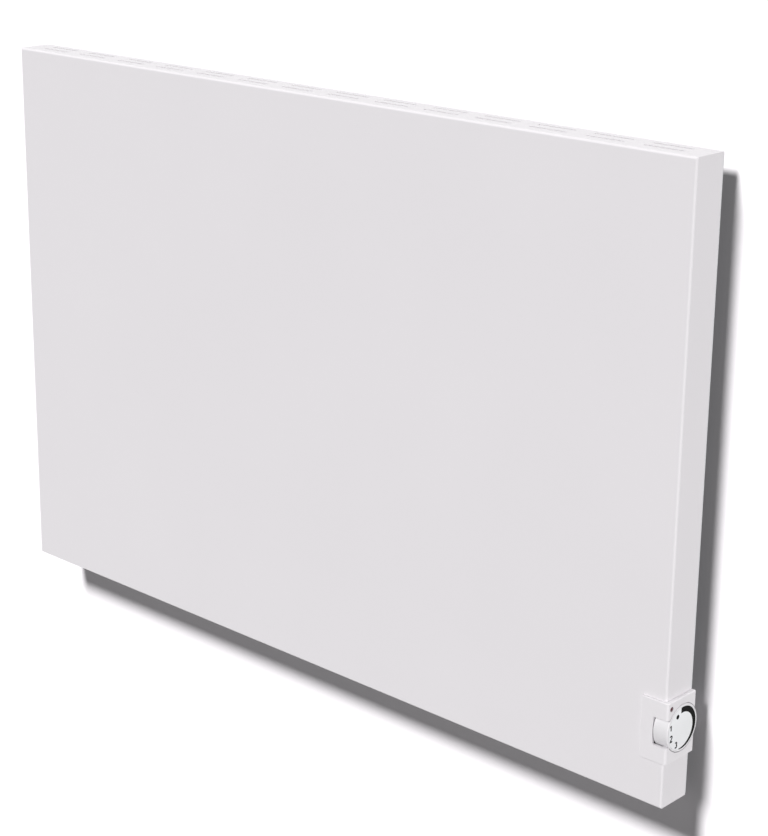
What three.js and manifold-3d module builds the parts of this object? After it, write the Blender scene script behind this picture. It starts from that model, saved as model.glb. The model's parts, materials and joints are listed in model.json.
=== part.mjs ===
// Wall panel convector heater: a slim folded steel casing that hangs on a hooked wall bracket,
// with a finned element inside and a corner thermostat whose wheel turns in a moulded collar.
// Millimetres. +X is to the right as seen from the room, +Y points to the wall and +Z is up.
// The origin lies on the wall, at the middle of the bracket.

import * as THREE from 'three';
import { mergeVertices } from 'three/addons/utils/BufferGeometryUtils.js';
import Module from 'manifold-3d';

const wasm = await Module();
wasm.setup();

// ---------------------------------------------------------------- driving sizes

// Casing
const WIDTH = 900;
const HEIGHT = 600;
const DEPTH = 40;
const STANDOFF = 18; // air gap between the casing's back and the wall
const SHEET = 0.8; // casing and rear panel gauge
const FOLD_RADIUS = 2.4; // outer radius of the folds round the front
const FOLD_STEPS = 3;
const LIP_WIDTH = 12; // return lip that carries the rear panel
const SEAT = 0.3; // gap between pieces that touch
const REAR_INSET = 0.6; // rear panel edge inside the casing's outline

// Air slots, in two rows along the top and the bottom
const SLOT_LENGTH = 42;
const SLOT_WIDTH = 3.4;
const SLOT_PITCH = 62.5;
const SLOT_END_MARGIN = 22;
const SLOT_ROW_DEPTH = 22; // middle of the two rows, behind the front face
const SLOT_ROW_SPACING = 13;

// Wall bracket
const BRACKET_SPAN = 400; // between the two uprights
const UPRIGHT_HEIGHT = 320;
const UPRIGHT_WIDTH = 40;
const BRACKET_SHEET = 1.5;
const CROSS_BAR_HEIGHT = 50;
const CROSS_BAR_TAB = 13.5;
const HOOK_SPAN = 260; // between the upper and the lower hooks
const HOOK_NECK = 8;
const HOOK_TIP = 10;
const HOOK_TIP_DEPTH = 3;
const HOOK_PLAY = 0.9; // room for the rear panel's sheet, on each side
const HOOK_SIDE_PLAY = 1.2;
const LIFT_MARGIN = 2; // lift beyond the height of a hook's tip
const WALL_SLOT_WIDTH = 5.5;
const WALL_SLOT_LENGTH = 12;
const WALL_SLOT_INSET = 18; // from the end of an upright
const BAR_SLOT_SPAN = 120;

// Rear panel
const SCREW_RADIUS = 1.6;
const SCREW_HEAD_RADIUS = 3.4;
const SCREW_HEAD_HEIGHT = 1.8;
const SCREW_LENGTH = 8;
const SCREW_EDGE = 6.6; // screw line inside the casing's outline
const SCREW_COLUMNS = [-0.44, -0.16, 0.16, 0.44]; // shares of the width
const SWAGE_LENGTH = 240;
const SWAGE_WIDTH = 14;
const SWAGE_RISE = 2;

// Heating element
const ELEMENT_INSET_LEFT = 74;
const ELEMENT_INSET_RIGHT = 132;
const ELEMENT_LEVEL = 122; // its axis above the casing's bottom
const ELEMENT_AXIS_DEPTH = 19; // its axis behind the front face
const ROD_RADIUS = 3;
const ROD_OVERHANG = 20;
const TUBE_WALL = 2.4;
const WING_LENGTH = 28;
const WING_THICKNESS = 1.8;
const WING_SPREAD = 22; // degrees between a wing and the vertical
const WING_RIBS = 4;
const RIB_HEIGHT = 1.5;
const RIB_THICKNESS = 1.3;
const ELEMENT_BRACKET_GAP = 6;
const ELEMENT_BRACKET_HEIGHT = 60;
const BUSH_RADIUS = 8;
const BUSH_NECK_RADIUS = 5.4;
const BUSH_FLANGE = 3;

// Heat shield behind the element
const SHIELD_SHEET = 0.6;
const SHIELD_DEPTH = 6.2; // stands this far off the rear panel
const SHIELD_LIP = 12;
const SHIELD_BOTTOM = 76;
const SHIELD_TOP = 516;
const SHIELD_INSET = 10; // its ends inside the element's ends

// Thermal cut-out on the shield
const CUTOUT_INSET = 330; // its middle, from the casing's right side
const CUTOUT_DROP = 60; // its middle, below the shield's upper edge
const CUTOUT_RADIUS = 8;
const CUTOUT_HEIGHT = 10;
const CUTOUT_SHOULDER = 6;
const CUTOUT_EARS = 30;
const TAB_SPACING = 7;
const TAB_THICKNESS = 0.8;
const TAB_LENGTH = 6;
const TAB_WIDTH = 6;

// Thermostat, measured from the casing's bottom and front face
const DIAL_LEVEL = 76.5;
const DIAL_DEPTH = 20.2;
const DIAL_RADIUS = 23.2;
const DIAL_WIDTH = 15.8;
const DIAL_PROUD = 4.8; // face beyond the casing's side
const DIAL_EDGE = 1.4; // rounding of the rim
const DIAL_WALL = 1.8;
const DIAL_FACE = 2.2;
const DIAL_CLEARANCE = 0.7;
const DIAL_FACETS = 64;
const DIAL_TRAVEL = 270;
const STOP_CLEARANCE = 3; // degrees left at each end of the travel
const STOP_LUG_ANGLE = 24;
const STOP_INNER_RADIUS = 6;
const STOP_OUTER_RADIUS = 9.4;
const COLLAR_HEIGHT = 61;
const COLLAR_FRONT_WIDTH = 25; // front wing, inside the casing's side
const COLLAR_FRONT_PROUD = 3;
const COLLAR_SIDE_PROUD = 4.2;
const COLLAR_EDGE = 1;
const COLLAR_CORNER = 2.6;
const WINDOW_HEIGHT = 27.6;
const WINDOW_PLAY = 0.7; // between the window's side and the wheel's inner rim
const NOTCH_HEIGHT = 55;
const NOTCH_WIDTH = 13.4;
const HOUSING_WALL = 1.6;
const HOUSING_BAY = 23; // depth of the board's bay
const HOUSING_HEIGHT = 57;
const TONGUE_THICKNESS = 2;
const TONGUE_WIDTH = 4;
const TONGUE_BARB = 0.9;
const TONGUE_INSET = 6.3; // from the front and the back of the housing
const LED_RADIUS = 1.5;
const LENS_FLANGE_RADIUS = 2.3;
const LED_DEPTH = 2.6;
const LED_RISE = 24;
const SPINDLE_RADIUS = 3;
const SPINDLE_FLAT = 2.1;
const RUNNING_CLEARANCE = 0.3;
const POT_RADIUS = 8;
const POT_HEIGHT = 7;
const POT_BUSH_RADIUS = 4.6;
const BOARD_THICKNESS = 1.6;
const BOARD_HEIGHT = 50;
const BOARD_MARGIN = 0.4;
const SENSOR_RADIUS = 1.6;
const SENSOR_REACH = 5;

// Supply side
const TERMINAL_WIDTH = 36;
const TERMINAL_HEIGHT = 18;
const TERMINAL_DEPTH = 16;
const TERMINAL_LEVEL = 232;
const TERMINAL_INSET = 66; // its middle, from the casing's right side
const GLAND_LEVEL = 168;
const GLAND_INSET = 44;
const GLAND_RADIUS = 7;
const GLAND_FLANGE_RADIUS = 10;
const GLAND_REACH = 9;
const GLAND_BORE_RADIUS = 3.6;
const EARTH_INSET = 100;
const EARTH_LEVEL = 270;
const EARTH_RADIUS = 2;

// Internal wires
const WIRE_RADIUS = 1.2;
const WIRE_SIDES = 6;
const WIRE_STRAIGHT = 14; // stretch that leaves a plug, a terminal or a tab
const WIRE_SWEEP = 28; // stretch that a bend takes up
const WIRE_DRIFT = 4; // sideways step within a bend
const PLUG_POCKET = 4;
const TERMINAL_POCKET = 5;
const SIDE_RUN_INSET = 30; // upright run, inside the casing's side
const END_RUN_REACH = 16; // upright run, beyond the element's rod
const SHIELD_RUN_GAP = 4; // level run, in front of the shield
const SHIELD_RUN_RISE = 20; // level run, above the cut-out's middle
const STUD_WIRE_GAP = 6.5; // earth wire's end, off the rear panel

// ---------------------------------------------------------------- derived places

const right = WIDTH / 2;
const top = HEIGHT / 2;
const back = -STANDOFF;
const front = back - DEPTH;
const rearInner = back - SHEET; // room side of the rear panel
const lipOuter = rearInner - SEAT;
const lipInner = lipOuter - SHEET;
const inside = front + SHEET; // hidden side of the front sheet
const slotRowY = front + SLOT_ROW_DEPTH;

const dialY = front + DIAL_DEPTH;
const dialZ = -top + DIAL_LEVEL;
const dialFaceX = right + DIAL_PROUD;
const dialInnerX = dialFaceX - DIAL_WIDTH;
const wellRadius = DIAL_RADIUS + DIAL_CLEARANCE;
const partitionOuterX = right - NOTCH_WIDTH + SEAT;
const partitionInnerX = partitionOuterX - HOUSING_WALL;
const bayOpenX = partitionInnerX - HOUSING_BAY;
const housingFront = inside + SEAT;
const housingBack = lipInner - SEAT;

// ---------------------------------------------------------------- finishes

const finish = (color, roughness, metalness = 0) =>
  new THREE.MeshStandardMaterial({ color, roughness, metalness });

const WHITE_PAINT = finish(0xe6e3e6, 0.45);
const GALVANISED = finish(0xa9adb0, 0.45, 0.9);
const ALUMINIUM = finish(0xc4c7ca, 0.4, 0.95);
const STEEL = finish(0x8f9296, 0.35, 0.95);
const BRASS = finish(0xc9a552, 0.35, 0.95);
const CERAMIC = finish(0xeeeae0, 0.5);
const WHITE_PLASTIC = finish(0xe8e8ea, 0.4);
const GREY_PLASTIC = finish(0x5c6064, 0.55);
const BLACK_PLASTIC = finish(0x1c1d1f, 0.5);
const BOARD_GREEN = finish(0x2c5b3a, 0.5);
const RED_LENS = finish(0x7a1428, 0.15);
const BROWN_WIRE = finish(0x6a3f25, 0.6);
const BLUE_WIRE = finish(0x2b4f9a, 0.6);
const GREEN_WIRE = finish(0x5f8f2c, 0.6);

// ---------------------------------------------------------------- solids

// Turns a closed three.js geometry into a solid with its faces pointing out.
function solidOf(geometry) {
  const bare = geometry.clone();
  bare.deleteAttribute('normal');
  bare.deleteAttribute('uv');
  const merged = mergeVertices(bare, 1e-4);
  const places = merged.attributes.position;
  const corner = [new THREE.Vector3(), new THREE.Vector3(), new THREE.Vector3()];
  const faces = [];
  let volume = 0;
  for (let i = 0; i < merged.index.count; i += 3) {
    const [a, b, c] = [0, 1, 2].map((k) => merged.index.getX(i + k));
    if (a === b || b === c || c === a) continue;
    [a, b, c].forEach((index, k) => corner[k].fromBufferAttribute(places, index));
    volume += corner[0].dot(corner[1].clone().cross(corner[2]));
    faces.push([a, b, c]);
  }
  const triVerts = new Uint32Array(faces.flatMap(([a, b, c]) => (volume < 0 ? [a, c, b] : [a, b, c])));
  const vertProperties = new Float32Array(places.array);
  return new wasm.Manifold(new wasm.Mesh({ numProp: 3, vertProperties, triVerts }));
}

const join = (first, ...others) => others.reduce((whole, next) => whole.add(next), first);
const cut = (first, ...others) => others.reduce((whole, next) => whole.subtract(next), first);

// A block between two corners, given as low and high values along each axis.
function block(x0, x1, y0, y1, z0, z1) {
  const shape = new THREE.BoxGeometry(x1 - x0, y1 - y0, z1 - z0);
  return solidOf(shape.translate((x0 + x1) / 2, (y0 + y1) / 2, (z0 + z1) / 2));
}

// Bases that lay a flat outline in a plane and give the direction that it is extruded in.
const ACROSS_X = new THREE.Matrix4().makeBasis(
  new THREE.Vector3(0, 1, 0), new THREE.Vector3(0, 0, 1), new THREE.Vector3(1, 0, 0));
const ACROSS_Y = new THREE.Matrix4().makeBasis(
  new THREE.Vector3(1, 0, 0), new THREE.Vector3(0, 0, 1), new THREE.Vector3(0, -1, 0));

// An outline in (y, z) between x0 and x1.
function alongX(shape, x0, x1, options = {}) {
  const geometry = new THREE.ExtrudeGeometry(shape, { depth: x1 - x0, bevelEnabled: false, ...options });
  return solidOf(geometry.applyMatrix4(ACROSS_X).translate(x0, 0, 0));
}

// An outline in (x, z) between y0 and y1.
function alongY(shape, y0, y1, options = {}) {
  const geometry = new THREE.ExtrudeGeometry(shape, { depth: y1 - y0, bevelEnabled: false, ...options });
  return solidOf(geometry.applyMatrix4(ACROSS_Y).translate(0, y1, 0));
}

// An outline in (x, y) between z0 and z1.
function alongZ(shape, z0, z1) {
  const geometry = new THREE.ExtrudeGeometry(shape, { depth: z1 - z0, bevelEnabled: false });
  return solidOf(geometry.translate(0, 0, z0));
}

const outline = (points) => new THREE.Shape(points.map(([u, v]) => new THREE.Vector2(u, v)));
const rectangle = (u0, u1, v0, v1) => outline([[u0, v0], [u1, v0], [u1, v1], [u0, v1]]);

// A slot with round ends, length and width overall, lying along u, or along v when upright.
function slotOutline(u, v, length, width, upright = false, steps = 5) {
  const reach = (length - width) / 2;
  const points = [];
  for (const side of [1, -1]) {
    for (let i = 0; i <= steps; i += 1) {
      const angle = Math.PI * (i / steps - 0.5);
      const along = side * (reach + (width / 2) * Math.cos(angle));
      const across = side * (width / 2) * Math.sin(angle);
      points.push(upright ? [u - across, v + along] : [u + along, v + across]);
    }
  }
  return outline(points);
}

// A profile of [radius, x] points turned round a line along X through (y, z).
function turnedX(points, y, z, facets) {
  const geometry = new THREE.LatheGeometry(points.map(([r, x]) => new THREE.Vector2(r, x)), facets);
  return solidOf(geometry.rotateZ(-Math.PI / 2).translate(0, y, z));
}

// A profile of [radius, y] points turned round a line along Y through (x, z).
function turnedY(points, x, z, facets) {
  const geometry = new THREE.LatheGeometry(points.map(([r, y]) => new THREE.Vector2(r, y)), facets);
  return solidOf(geometry.translate(x, 0, z));
}

// A profile of [radius, z] points turned round a line along Z through (x, y).
function turnedZ(points, x, y, facets) {
  const geometry = new THREE.LatheGeometry(points.map(([r, z]) => new THREE.Vector2(r, z)), facets);
  return solidOf(geometry.rotateX(Math.PI / 2).translate(x, y, 0));
}

const rod = (r, from, to) => [[0, from], [r, from], [r, to], [0, to]];

// A round wire through points given in millimetres, in straight and curved stretches.
function wireSolid(points, steps) {
  const path = new THREE.CatmullRomCurve3(points.map(([x, y, z]) => new THREE.Vector3(x, y, z)), false,
    'centripetal');
  const section = new THREE.Shape();
  for (let i = 0; i < WIRE_SIDES; i += 1) {
    const angle = (2 * Math.PI * i) / WIRE_SIDES;
    const [u, v] = [WIRE_RADIUS * Math.cos(angle), WIRE_RADIUS * Math.sin(angle)];
    if (i === 0) section.moveTo(u, v);
    else section.lineTo(u, v);
  }
  return solidOf(new THREE.ExtrudeGeometry(section, { steps, bevelEnabled: false, extrudePath: path }));
}

// A place on the thermostat's face plane, clockwise from twelve o'clock as seen from the right.
function clockPoint(radius, degrees) {
  const angle = THREE.MathUtils.degToRad(degrees);
  return [dialY + radius * Math.sin(angle), dialZ + radius * Math.cos(angle)];
}

// A sector of a ring round the dial's axis.
function ringSector(inner, outer, fromDegrees, toDegrees, x0, x1, steps = 8) {
  const points = [];
  for (let i = 0; i <= steps; i += 1) {
    points.push(clockPoint(outer, fromDegrees + ((toDegrees - fromDegrees) * i) / steps));
  }
  for (let i = steps; i >= 0; i -= 1) {
    points.push(clockPoint(inner, fromDegrees + ((toDegrees - fromDegrees) * i) / steps));
  }
  return alongX(outline(points.reverse()), x0, x1);
}

// ---------------------------------------------------------------- the finished group

const heater = new THREE.Group();
heater.name = 'wall_panel_convector_heater';

function add(name, material, solid) {
  const mesh = solid.getMesh();
  const geometry = new THREE.BufferGeometry();
  geometry.setAttribute('position', new THREE.BufferAttribute(new Float32Array(mesh.vertProperties), 3));
  geometry.setIndex(new THREE.BufferAttribute(new Uint32Array(mesh.triVerts), 1));
  geometry.computeVertexNormals();
  const part = new THREE.Mesh(geometry, material);
  part.name = name;
  heater.add(part);
  return part;
}

// ---------------------------------------------------------------- casing

// Places of the slots along X, as many as the width takes.
function slotColumns() {
  const room = WIDTH - 2 * SLOT_END_MARGIN - SLOT_LENGTH;
  const count = Math.floor(room / SLOT_PITCH) + 1;
  return Array.from({ length: count }, (_, i) => (i - (count - 1) / 2) * SLOT_PITCH);
}

// The casing's outline pushed in by a margin, with the folds round the front edge.
function foldedBlock(margin, yFront, yBack, radius) {
  const shape = rectangle(-right + margin, right - margin, -top + margin, top - margin);
  const past = radius + 1; // the far end carries the same rounding, which is cut away
  const rounded = alongY(shape, yFront + radius, yBack + past, {
    bevelEnabled: true,
    bevelThickness: radius,
    bevelSize: radius,
    bevelOffset: -radius,
    bevelSegments: FOLD_STEPS,
  });
  return cut(rounded, block(-WIDTH, WIDTH, yBack, yBack + 4 * past, -HEIGHT, HEIGHT));
}

// Corner of the casing that is open for the thermostat, or that part of it a piece needs.
function thermostatNotch(halfHeight, y0 = front - DEPTH, y1 = back + DEPTH) {
  return block(right - NOTCH_WIDTH, right + DEPTH, y0, y1, dialZ - halfHeight, dialZ + halfHeight);
}

const rearScrewPlaces = SCREW_COLUMNS.flatMap((share) => [1, -1].map((side) => (
  [share * WIDTH, side * (top - SCREW_EDGE)])));
const housingScrewPlaces = [1, -1].map((side) => (
  [partitionInnerX - 10, dialZ + side * (HOUSING_HEIGHT / 2 - HOUSING_WALL - 4)]));

function frontCasing() {
  const shell = cut(
    foldedBlock(0, front, lipOuter, FOLD_RADIUS),
    foldedBlock(SHEET, inside, lipInner, FOLD_RADIUS - SHEET),
    block(-right + LIP_WIDTH, right - LIP_WIDTH, lipInner - 1, back, -top + LIP_WIDTH, top - LIP_WIDTH),
  );
  const slots = slotColumns().flatMap((x) => [-0.5, 0.5].map((row) => (
    alongZ(slotOutline(x, slotRowY + row * SLOT_ROW_SPACING, SLOT_LENGTH, SLOT_WIDTH), -HEIGHT, HEIGHT))));
  const holes = rearScrewPlaces.map(([x, z]) => (
    turnedY(rod(SCREW_RADIUS + SEAT, lipInner - 1, back), x, z, 8)));
  return cut(shell, ...slots, ...holes, thermostatNotch(NOTCH_HEIGHT / 2));
}

// Half of the height that a circle round the dial's axis spans on a plane of constant y.
const chordHalf = (radius, y) => Math.sqrt(Math.max(radius ** 2 - (y - dialY) ** 2, 1));

const lift = HOOK_TIP + LIFT_MARGIN; // how far the heater rises before it comes off the hooks
const hookSlotHeight = HOOK_NECK + lift + 2;
const hookFlangeCentre = UPRIGHT_WIDTH / 2 - BRACKET_SHEET / 2;
const hookPlaces = [-0.5, 0.5].flatMap((side) => [-1, 1].flatMap((flange) => [-0.5, 0.5].map((level) => (
  [side * BRACKET_SPAN + flange * hookFlangeCentre, level * HOOK_SPAN]))));
const glandX = right - GLAND_INSET;
const glandZ = -top + GLAND_LEVEL;
const earthX = right - EARTH_INSET;
const earthZ = -top + EARTH_LEVEL;

function rearPanel() {
  const sheet = alongY(rectangle(-right + REAR_INSET, right - REAR_INSET, -top + REAR_INSET,
    top - REAR_INSET), rearInner, back);
  const swageLevels = [-0.5, 0.5].map((side) => side * (HOOK_SPAN + HEIGHT) / 2);
  const raised = swageLevels.map((z) => (
    alongY(slotOutline(0, z, SWAGE_LENGTH, SWAGE_WIDTH, false, 8), back - SHEET / 2, back + SWAGE_RISE)));
  const hollow = swageLevels.map((z) => alongY(slotOutline(0, z, SWAGE_LENGTH - 2 * SHEET,
    SWAGE_WIDTH - 2 * SHEET, false, 8), rearInner - 1, back + SWAGE_RISE - SHEET));
  const halfSlot = BRACKET_SHEET / 2 + HOOK_SIDE_PLAY;
  const hookSlots = hookPlaces.map(([x, z]) => (
    block(x - halfSlot, x + halfSlot, rearInner - 1, back + 1, z + SEAT - hookSlotHeight, z + SEAT)));
  const screwHoles = [...rearScrewPlaces, ...housingScrewPlaces].map(([x, z]) => (
    turnedY(rod(SCREW_RADIUS + SEAT, rearInner - 1, back + 1), x, z, 8)));
  const glandHole = turnedY(rod(GLAND_RADIUS + SEAT, rearInner - 1, back + 1), glandX, glandZ, 20);
  const earthHole = turnedY(rod(EARTH_RADIUS + SEAT, rearInner - 1, back + 1), earthX, earthZ, 10);
  const wheelNotch = thermostatNotch(chordHalf(wellRadius + 1, rearInner), rearInner - 1, back + 1);
  return cut(join(sheet, ...raised), ...hollow, ...hookSlots, ...screwHoles, glandHole, earthHole,
    wheelNotch);
}

// A pan head screw that comes from the back and points into the room.
function rearScrew(x, z) {
  const headFrom = back + SEAT;
  const headTo = headFrom + SCREW_HEAD_HEIGHT;
  return turnedY([
    [0, headFrom - SCREW_LENGTH],
    [SCREW_RADIUS, headFrom - SCREW_LENGTH + SCREW_RADIUS],
    [SCREW_RADIUS, headFrom],
    [SCREW_HEAD_RADIUS, headFrom],
    [SCREW_HEAD_RADIUS * 0.94, headFrom + SCREW_HEAD_HEIGHT * 0.6],
    [SCREW_HEAD_RADIUS * 0.6, headTo],
    [0, headTo],
  ], x, z, 10);
}

add('front_casing', WHITE_PAINT, frontCasing());
add('rear_panel', GALVANISED, rearPanel());
rearScrewPlaces.forEach(([x, z], i) => add(`rear_screw_${i + 1}`, STEEL, rearScrew(x, z)));
housingScrewPlaces.forEach(([x, z], i) => add(`housing_screw_${i + 1}`, STEEL, rearScrew(x, z)));

// ---------------------------------------------------------------- wall bracket

// Flange of an upright: stands forward from the wall and carries a hook near each end.
function hookedFlange() {
  const edge = back + HOOK_PLAY / 2; // the flange stops just behind the rear panel
  const slotFront = rearInner - HOOK_PLAY;
  const tipFront = slotFront - HOOK_TIP_DEPTH;
  const points = [[0, -UPRIGHT_HEIGHT / 2], [edge, -UPRIGHT_HEIGHT / 2]];
  for (const level of [-0.5, 0.5]) {
    const z = level * HOOK_SPAN;
    points.push(
      [edge, z - HOOK_NECK],
      [tipFront + 1.5, z - HOOK_NECK],
      [tipFront, z - HOOK_NECK + 1.5],
      [tipFront, z + HOOK_TIP - 1.5],
      [tipFront + 1, z + HOOK_TIP],
      [slotFront - 1, z + HOOK_TIP],
      [slotFront, z + HOOK_TIP - 3],
      [slotFront, z],
      [edge, z],
    );
  }
  points.push([edge, UPRIGHT_HEIGHT / 2], [0, UPRIGHT_HEIGHT / 2]);
  return outline(points.reverse());
}

function bracketUpright(x) {
  const web = block(x - UPRIGHT_WIDTH / 2, x + UPRIGHT_WIDTH / 2, -BRACKET_SHEET, 0,
    -UPRIGHT_HEIGHT / 2, UPRIGHT_HEIGHT / 2);
  const flanges = [-1, 1].map((side) => {
    const centre = x + side * hookFlangeCentre;
    return alongX(hookedFlange(), centre - BRACKET_SHEET / 2, centre + BRACKET_SHEET / 2);
  });
  const holeLevel = UPRIGHT_HEIGHT / 2 - WALL_SLOT_INSET;
  const wallSlots = [-1, 1].map((side) => alongY(slotOutline(x, side * holeLevel, WALL_SLOT_LENGTH,
    WALL_SLOT_WIDTH, side < 0), -BRACKET_SHEET - 1, 1));
  return cut(join(web, ...flanges), ...wallSlots);
}

// Strip between the uprights, with a tab folded forward at each end against the upright's flange.
function crossBar() {
  const reach = BRACKET_SPAN / 2 - UPRIGHT_WIDTH / 2 - SEAT;
  const web = reach - BRACKET_SHEET;
  const half = CROSS_BAR_HEIGHT / 2;
  const folded = alongZ(outline([[-reach, 0], [-reach, -CROSS_BAR_TAB], [-web, -CROSS_BAR_TAB],
    [-web, -BRACKET_SHEET], [web, -BRACKET_SHEET], [web, -CROSS_BAR_TAB], [reach, -CROSS_BAR_TAB],
    [reach, 0]]), -half, half);
  const holes = [-0.5, 0.5].map((side) => alongY(slotOutline(side * BAR_SLOT_SPAN, 0, WALL_SLOT_LENGTH,
    WALL_SLOT_WIDTH), -BRACKET_SHEET - 1, 1));
  return cut(folded, ...holes);
}

add('bracket_upright_left', GALVANISED, bracketUpright(-BRACKET_SPAN / 2));
add('bracket_upright_right', GALVANISED, bracketUpright(BRACKET_SPAN / 2));
add('bracket_cross_bar', GALVANISED, crossBar());

// ---------------------------------------------------------------- heating element

const elementLeft = -right + ELEMENT_INSET_LEFT;
const elementRight = right - ELEMENT_INSET_RIGHT;
const elementY = front + ELEMENT_AXIS_DEPTH;
const elementZ = -top + ELEMENT_LEVEL;
const elementTubeRadius = ROD_RADIUS + SEAT + TUBE_WALL;

// One wing of the extruded body, from the tube's wall out to the tip, with ribs on both sides.
function wingOutline(tiltDegrees) {
  const half = WING_THICKNESS / 2;
  const side = [[elementTubeRadius - 1.5, half]];
  const pitch = (WING_LENGTH - elementTubeRadius) / (WING_RIBS + 0.5);
  for (let i = 1; i <= WING_RIBS; i += 1) {
    const u = elementTubeRadius + i * pitch;
    side.push([u - RIB_THICKNESS / 2, half], [u - RIB_THICKNESS / 2, half + RIB_HEIGHT]);
    side.push([u + RIB_THICKNESS / 2, half + RIB_HEIGHT], [u + RIB_THICKNESS / 2, half]);
  }
  side.push([WING_LENGTH, half]);
  const mirrored = side.map(([u, v]) => [u, -v]).reverse();
  const angle = THREE.MathUtils.degToRad(90 - tiltDegrees);
  const [cos, sin] = [Math.cos(angle), Math.sin(angle)];
  const turned = [...mirrored, ...side].map(([u, v]) => (
    [elementY + u * cos - v * sin, elementZ + u * sin + v * cos]));
  return outline(turned);
}

function elementProfile() {
  const wings = [WING_SPREAD, -WING_SPREAD, 180 - WING_SPREAD, 180 + WING_SPREAD].map((tilt) => (
    alongX(wingOutline(tilt), elementLeft, elementRight)));
  const tube = turnedX(rod(elementTubeRadius, elementLeft, elementRight), elementY, elementZ, 20);
  const bore = turnedX(rod(ROD_RADIUS + SEAT, elementLeft - 1, elementRight + 1), elementY, elementZ, 16);
  return cut(join(tube, ...wings), bore);
}

// Sheathed rod through the body, with a thinner terminal pin at each end.
function elementRod() {
  const from = elementLeft - ROD_OVERHANG;
  const to = elementRight + ROD_OVERHANG;
  const pin = 5;
  return turnedX([
    [0, from], [ROD_RADIUS / 2, from], [ROD_RADIUS / 2, from + pin], [ROD_RADIUS, from + pin],
    [ROD_RADIUS, to - pin], [ROD_RADIUS / 2, to - pin], [ROD_RADIUS / 2, to], [0, to],
  ], elementY, elementZ, 16);
}

const elementBracketX = (side) => (side < 0 ? elementLeft : elementRight) + side * ELEMENT_BRACKET_GAP;

// Folded arm from the rear panel with a hole for the bush.
function elementBracket(side) {
  const x = elementBracketX(side);
  const far = x + side * SHEET * 1.5;
  const half = ELEMENT_BRACKET_HEIGHT / 2;
  const reachY = elementY - BUSH_RADIUS - 3;
  const foot = x + side * 16;
  const arm = block(Math.min(x, far), Math.max(x, far), reachY, lipOuter, elementZ - half, elementZ + half);
  const base = block(Math.min(x, foot), Math.max(x, foot), lipOuter - SHEET * 1.5, lipOuter,
    elementZ - half, elementZ + half);
  const hole = turnedX(rod(BUSH_NECK_RADIUS + SEAT, x - 3, x + 3), elementY, elementZ, 16);
  return cut(join(arm, base), hole);
}

// Grooved bush that lets the rod slide as it grows with the heat.
function elementBush(side) {
  const x = elementBracketX(side);
  const far = x + side * SHEET * 1.5;
  const low = Math.min(x, far);
  const high = Math.max(x, far);
  const bore = ROD_RADIUS + RUNNING_CLEARANCE;
  return turnedX([
    [bore, low - SEAT - BUSH_FLANGE], [BUSH_RADIUS, low - SEAT - BUSH_FLANGE], [BUSH_RADIUS, low - SEAT],
    [BUSH_NECK_RADIUS, low - SEAT], [BUSH_NECK_RADIUS, high + SEAT], [BUSH_RADIUS, high + SEAT],
    [BUSH_RADIUS, high + SEAT + BUSH_FLANGE], [bore, high + SEAT + BUSH_FLANGE],
    [bore, low - SEAT - BUSH_FLANGE],
  ], elementY, elementZ, 16);
}

add('element_profile', ALUMINIUM, elementProfile());
add('element_rod', STEEL, elementRod());
add('element_bracket_left', GALVANISED, elementBracket(-1));
add('element_bracket_right', GALVANISED, elementBracket(1));
add('element_bush_left', CERAMIC, elementBush(-1));
add('element_bush_right', CERAMIC, elementBush(1));

// ---------------------------------------------------------------- heat shield and cut-out

const shieldLeft = elementLeft + SHIELD_INSET;
const shieldRight = elementRight - SHIELD_INSET;
const shieldFace = rearInner - SHIELD_DEPTH - SEAT; // side that faces the element

function heatShield() {
  const low = -top + SHIELD_BOTTOM;
  const high = -top + SHIELD_TOP;
  const foot = rearInner - SEAT;
  const plate = shieldFace + SHIELD_SHEET;
  const section = outline([
    [foot, low], [foot, low + SHIELD_LIP], [plate, low + SHIELD_LIP], [plate, high - SHIELD_LIP],
    [foot, high - SHIELD_LIP], [foot, high], [foot - SHIELD_SHEET, high],
    [foot - SHIELD_SHEET, high - SHIELD_LIP + SHIELD_SHEET],
    [shieldFace, high - SHIELD_LIP + SHIELD_SHEET], [shieldFace, low + SHIELD_LIP - SHIELD_SHEET],
    [foot - SHIELD_SHEET, low + SHIELD_LIP - SHIELD_SHEET], [foot - SHIELD_SHEET, low],
  ]);
  return alongX(section, shieldLeft, shieldRight);
}

const cutoutX = right - CUTOUT_INSET;
const cutoutZ = -top + SHIELD_TOP - CUTOUT_DROP;
const cutoutSeat = shieldFace - SEAT;
const cutoutCap = cutoutSeat - CUTOUT_HEIGHT;

// Bimetal disc limiter with its two ears flat on the shield and two tabs on its cap.
function thermalCutout() {
  const shoulder = cutoutSeat - CUTOUT_SHOULDER;
  const body = turnedY([
    [0, cutoutCap], [CUTOUT_RADIUS * 0.8, cutoutCap], [CUTOUT_RADIUS - 1, shoulder],
    [CUTOUT_RADIUS, shoulder], [CUTOUT_RADIUS, cutoutSeat], [0, cutoutSeat],
  ], cutoutX, cutoutZ, 20);
  const ears = block(cutoutX - CUTOUT_EARS / 2, cutoutX + CUTOUT_EARS / 2, cutoutSeat - SHEET, cutoutSeat,
    cutoutZ - CUTOUT_RADIUS / 2, cutoutZ + CUTOUT_RADIUS / 2);
  const tabs = [-1, 1].map((side) => {
    const x = cutoutX + (side * TAB_SPACING) / 2;
    return block(x - TAB_THICKNESS / 2, x + TAB_THICKNESS / 2, cutoutCap - TAB_LENGTH, cutoutCap + 1,
      cutoutZ - TAB_WIDTH / 2, cutoutZ + TAB_WIDTH / 2);
  });
  return join(body, ears, ...tabs);
}

add('heat_shield', ALUMINIUM, heatShield());
add('thermal_cutout', BLACK_PLASTIC, thermalCutout());

// ---------------------------------------------------------------- thermostat

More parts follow.
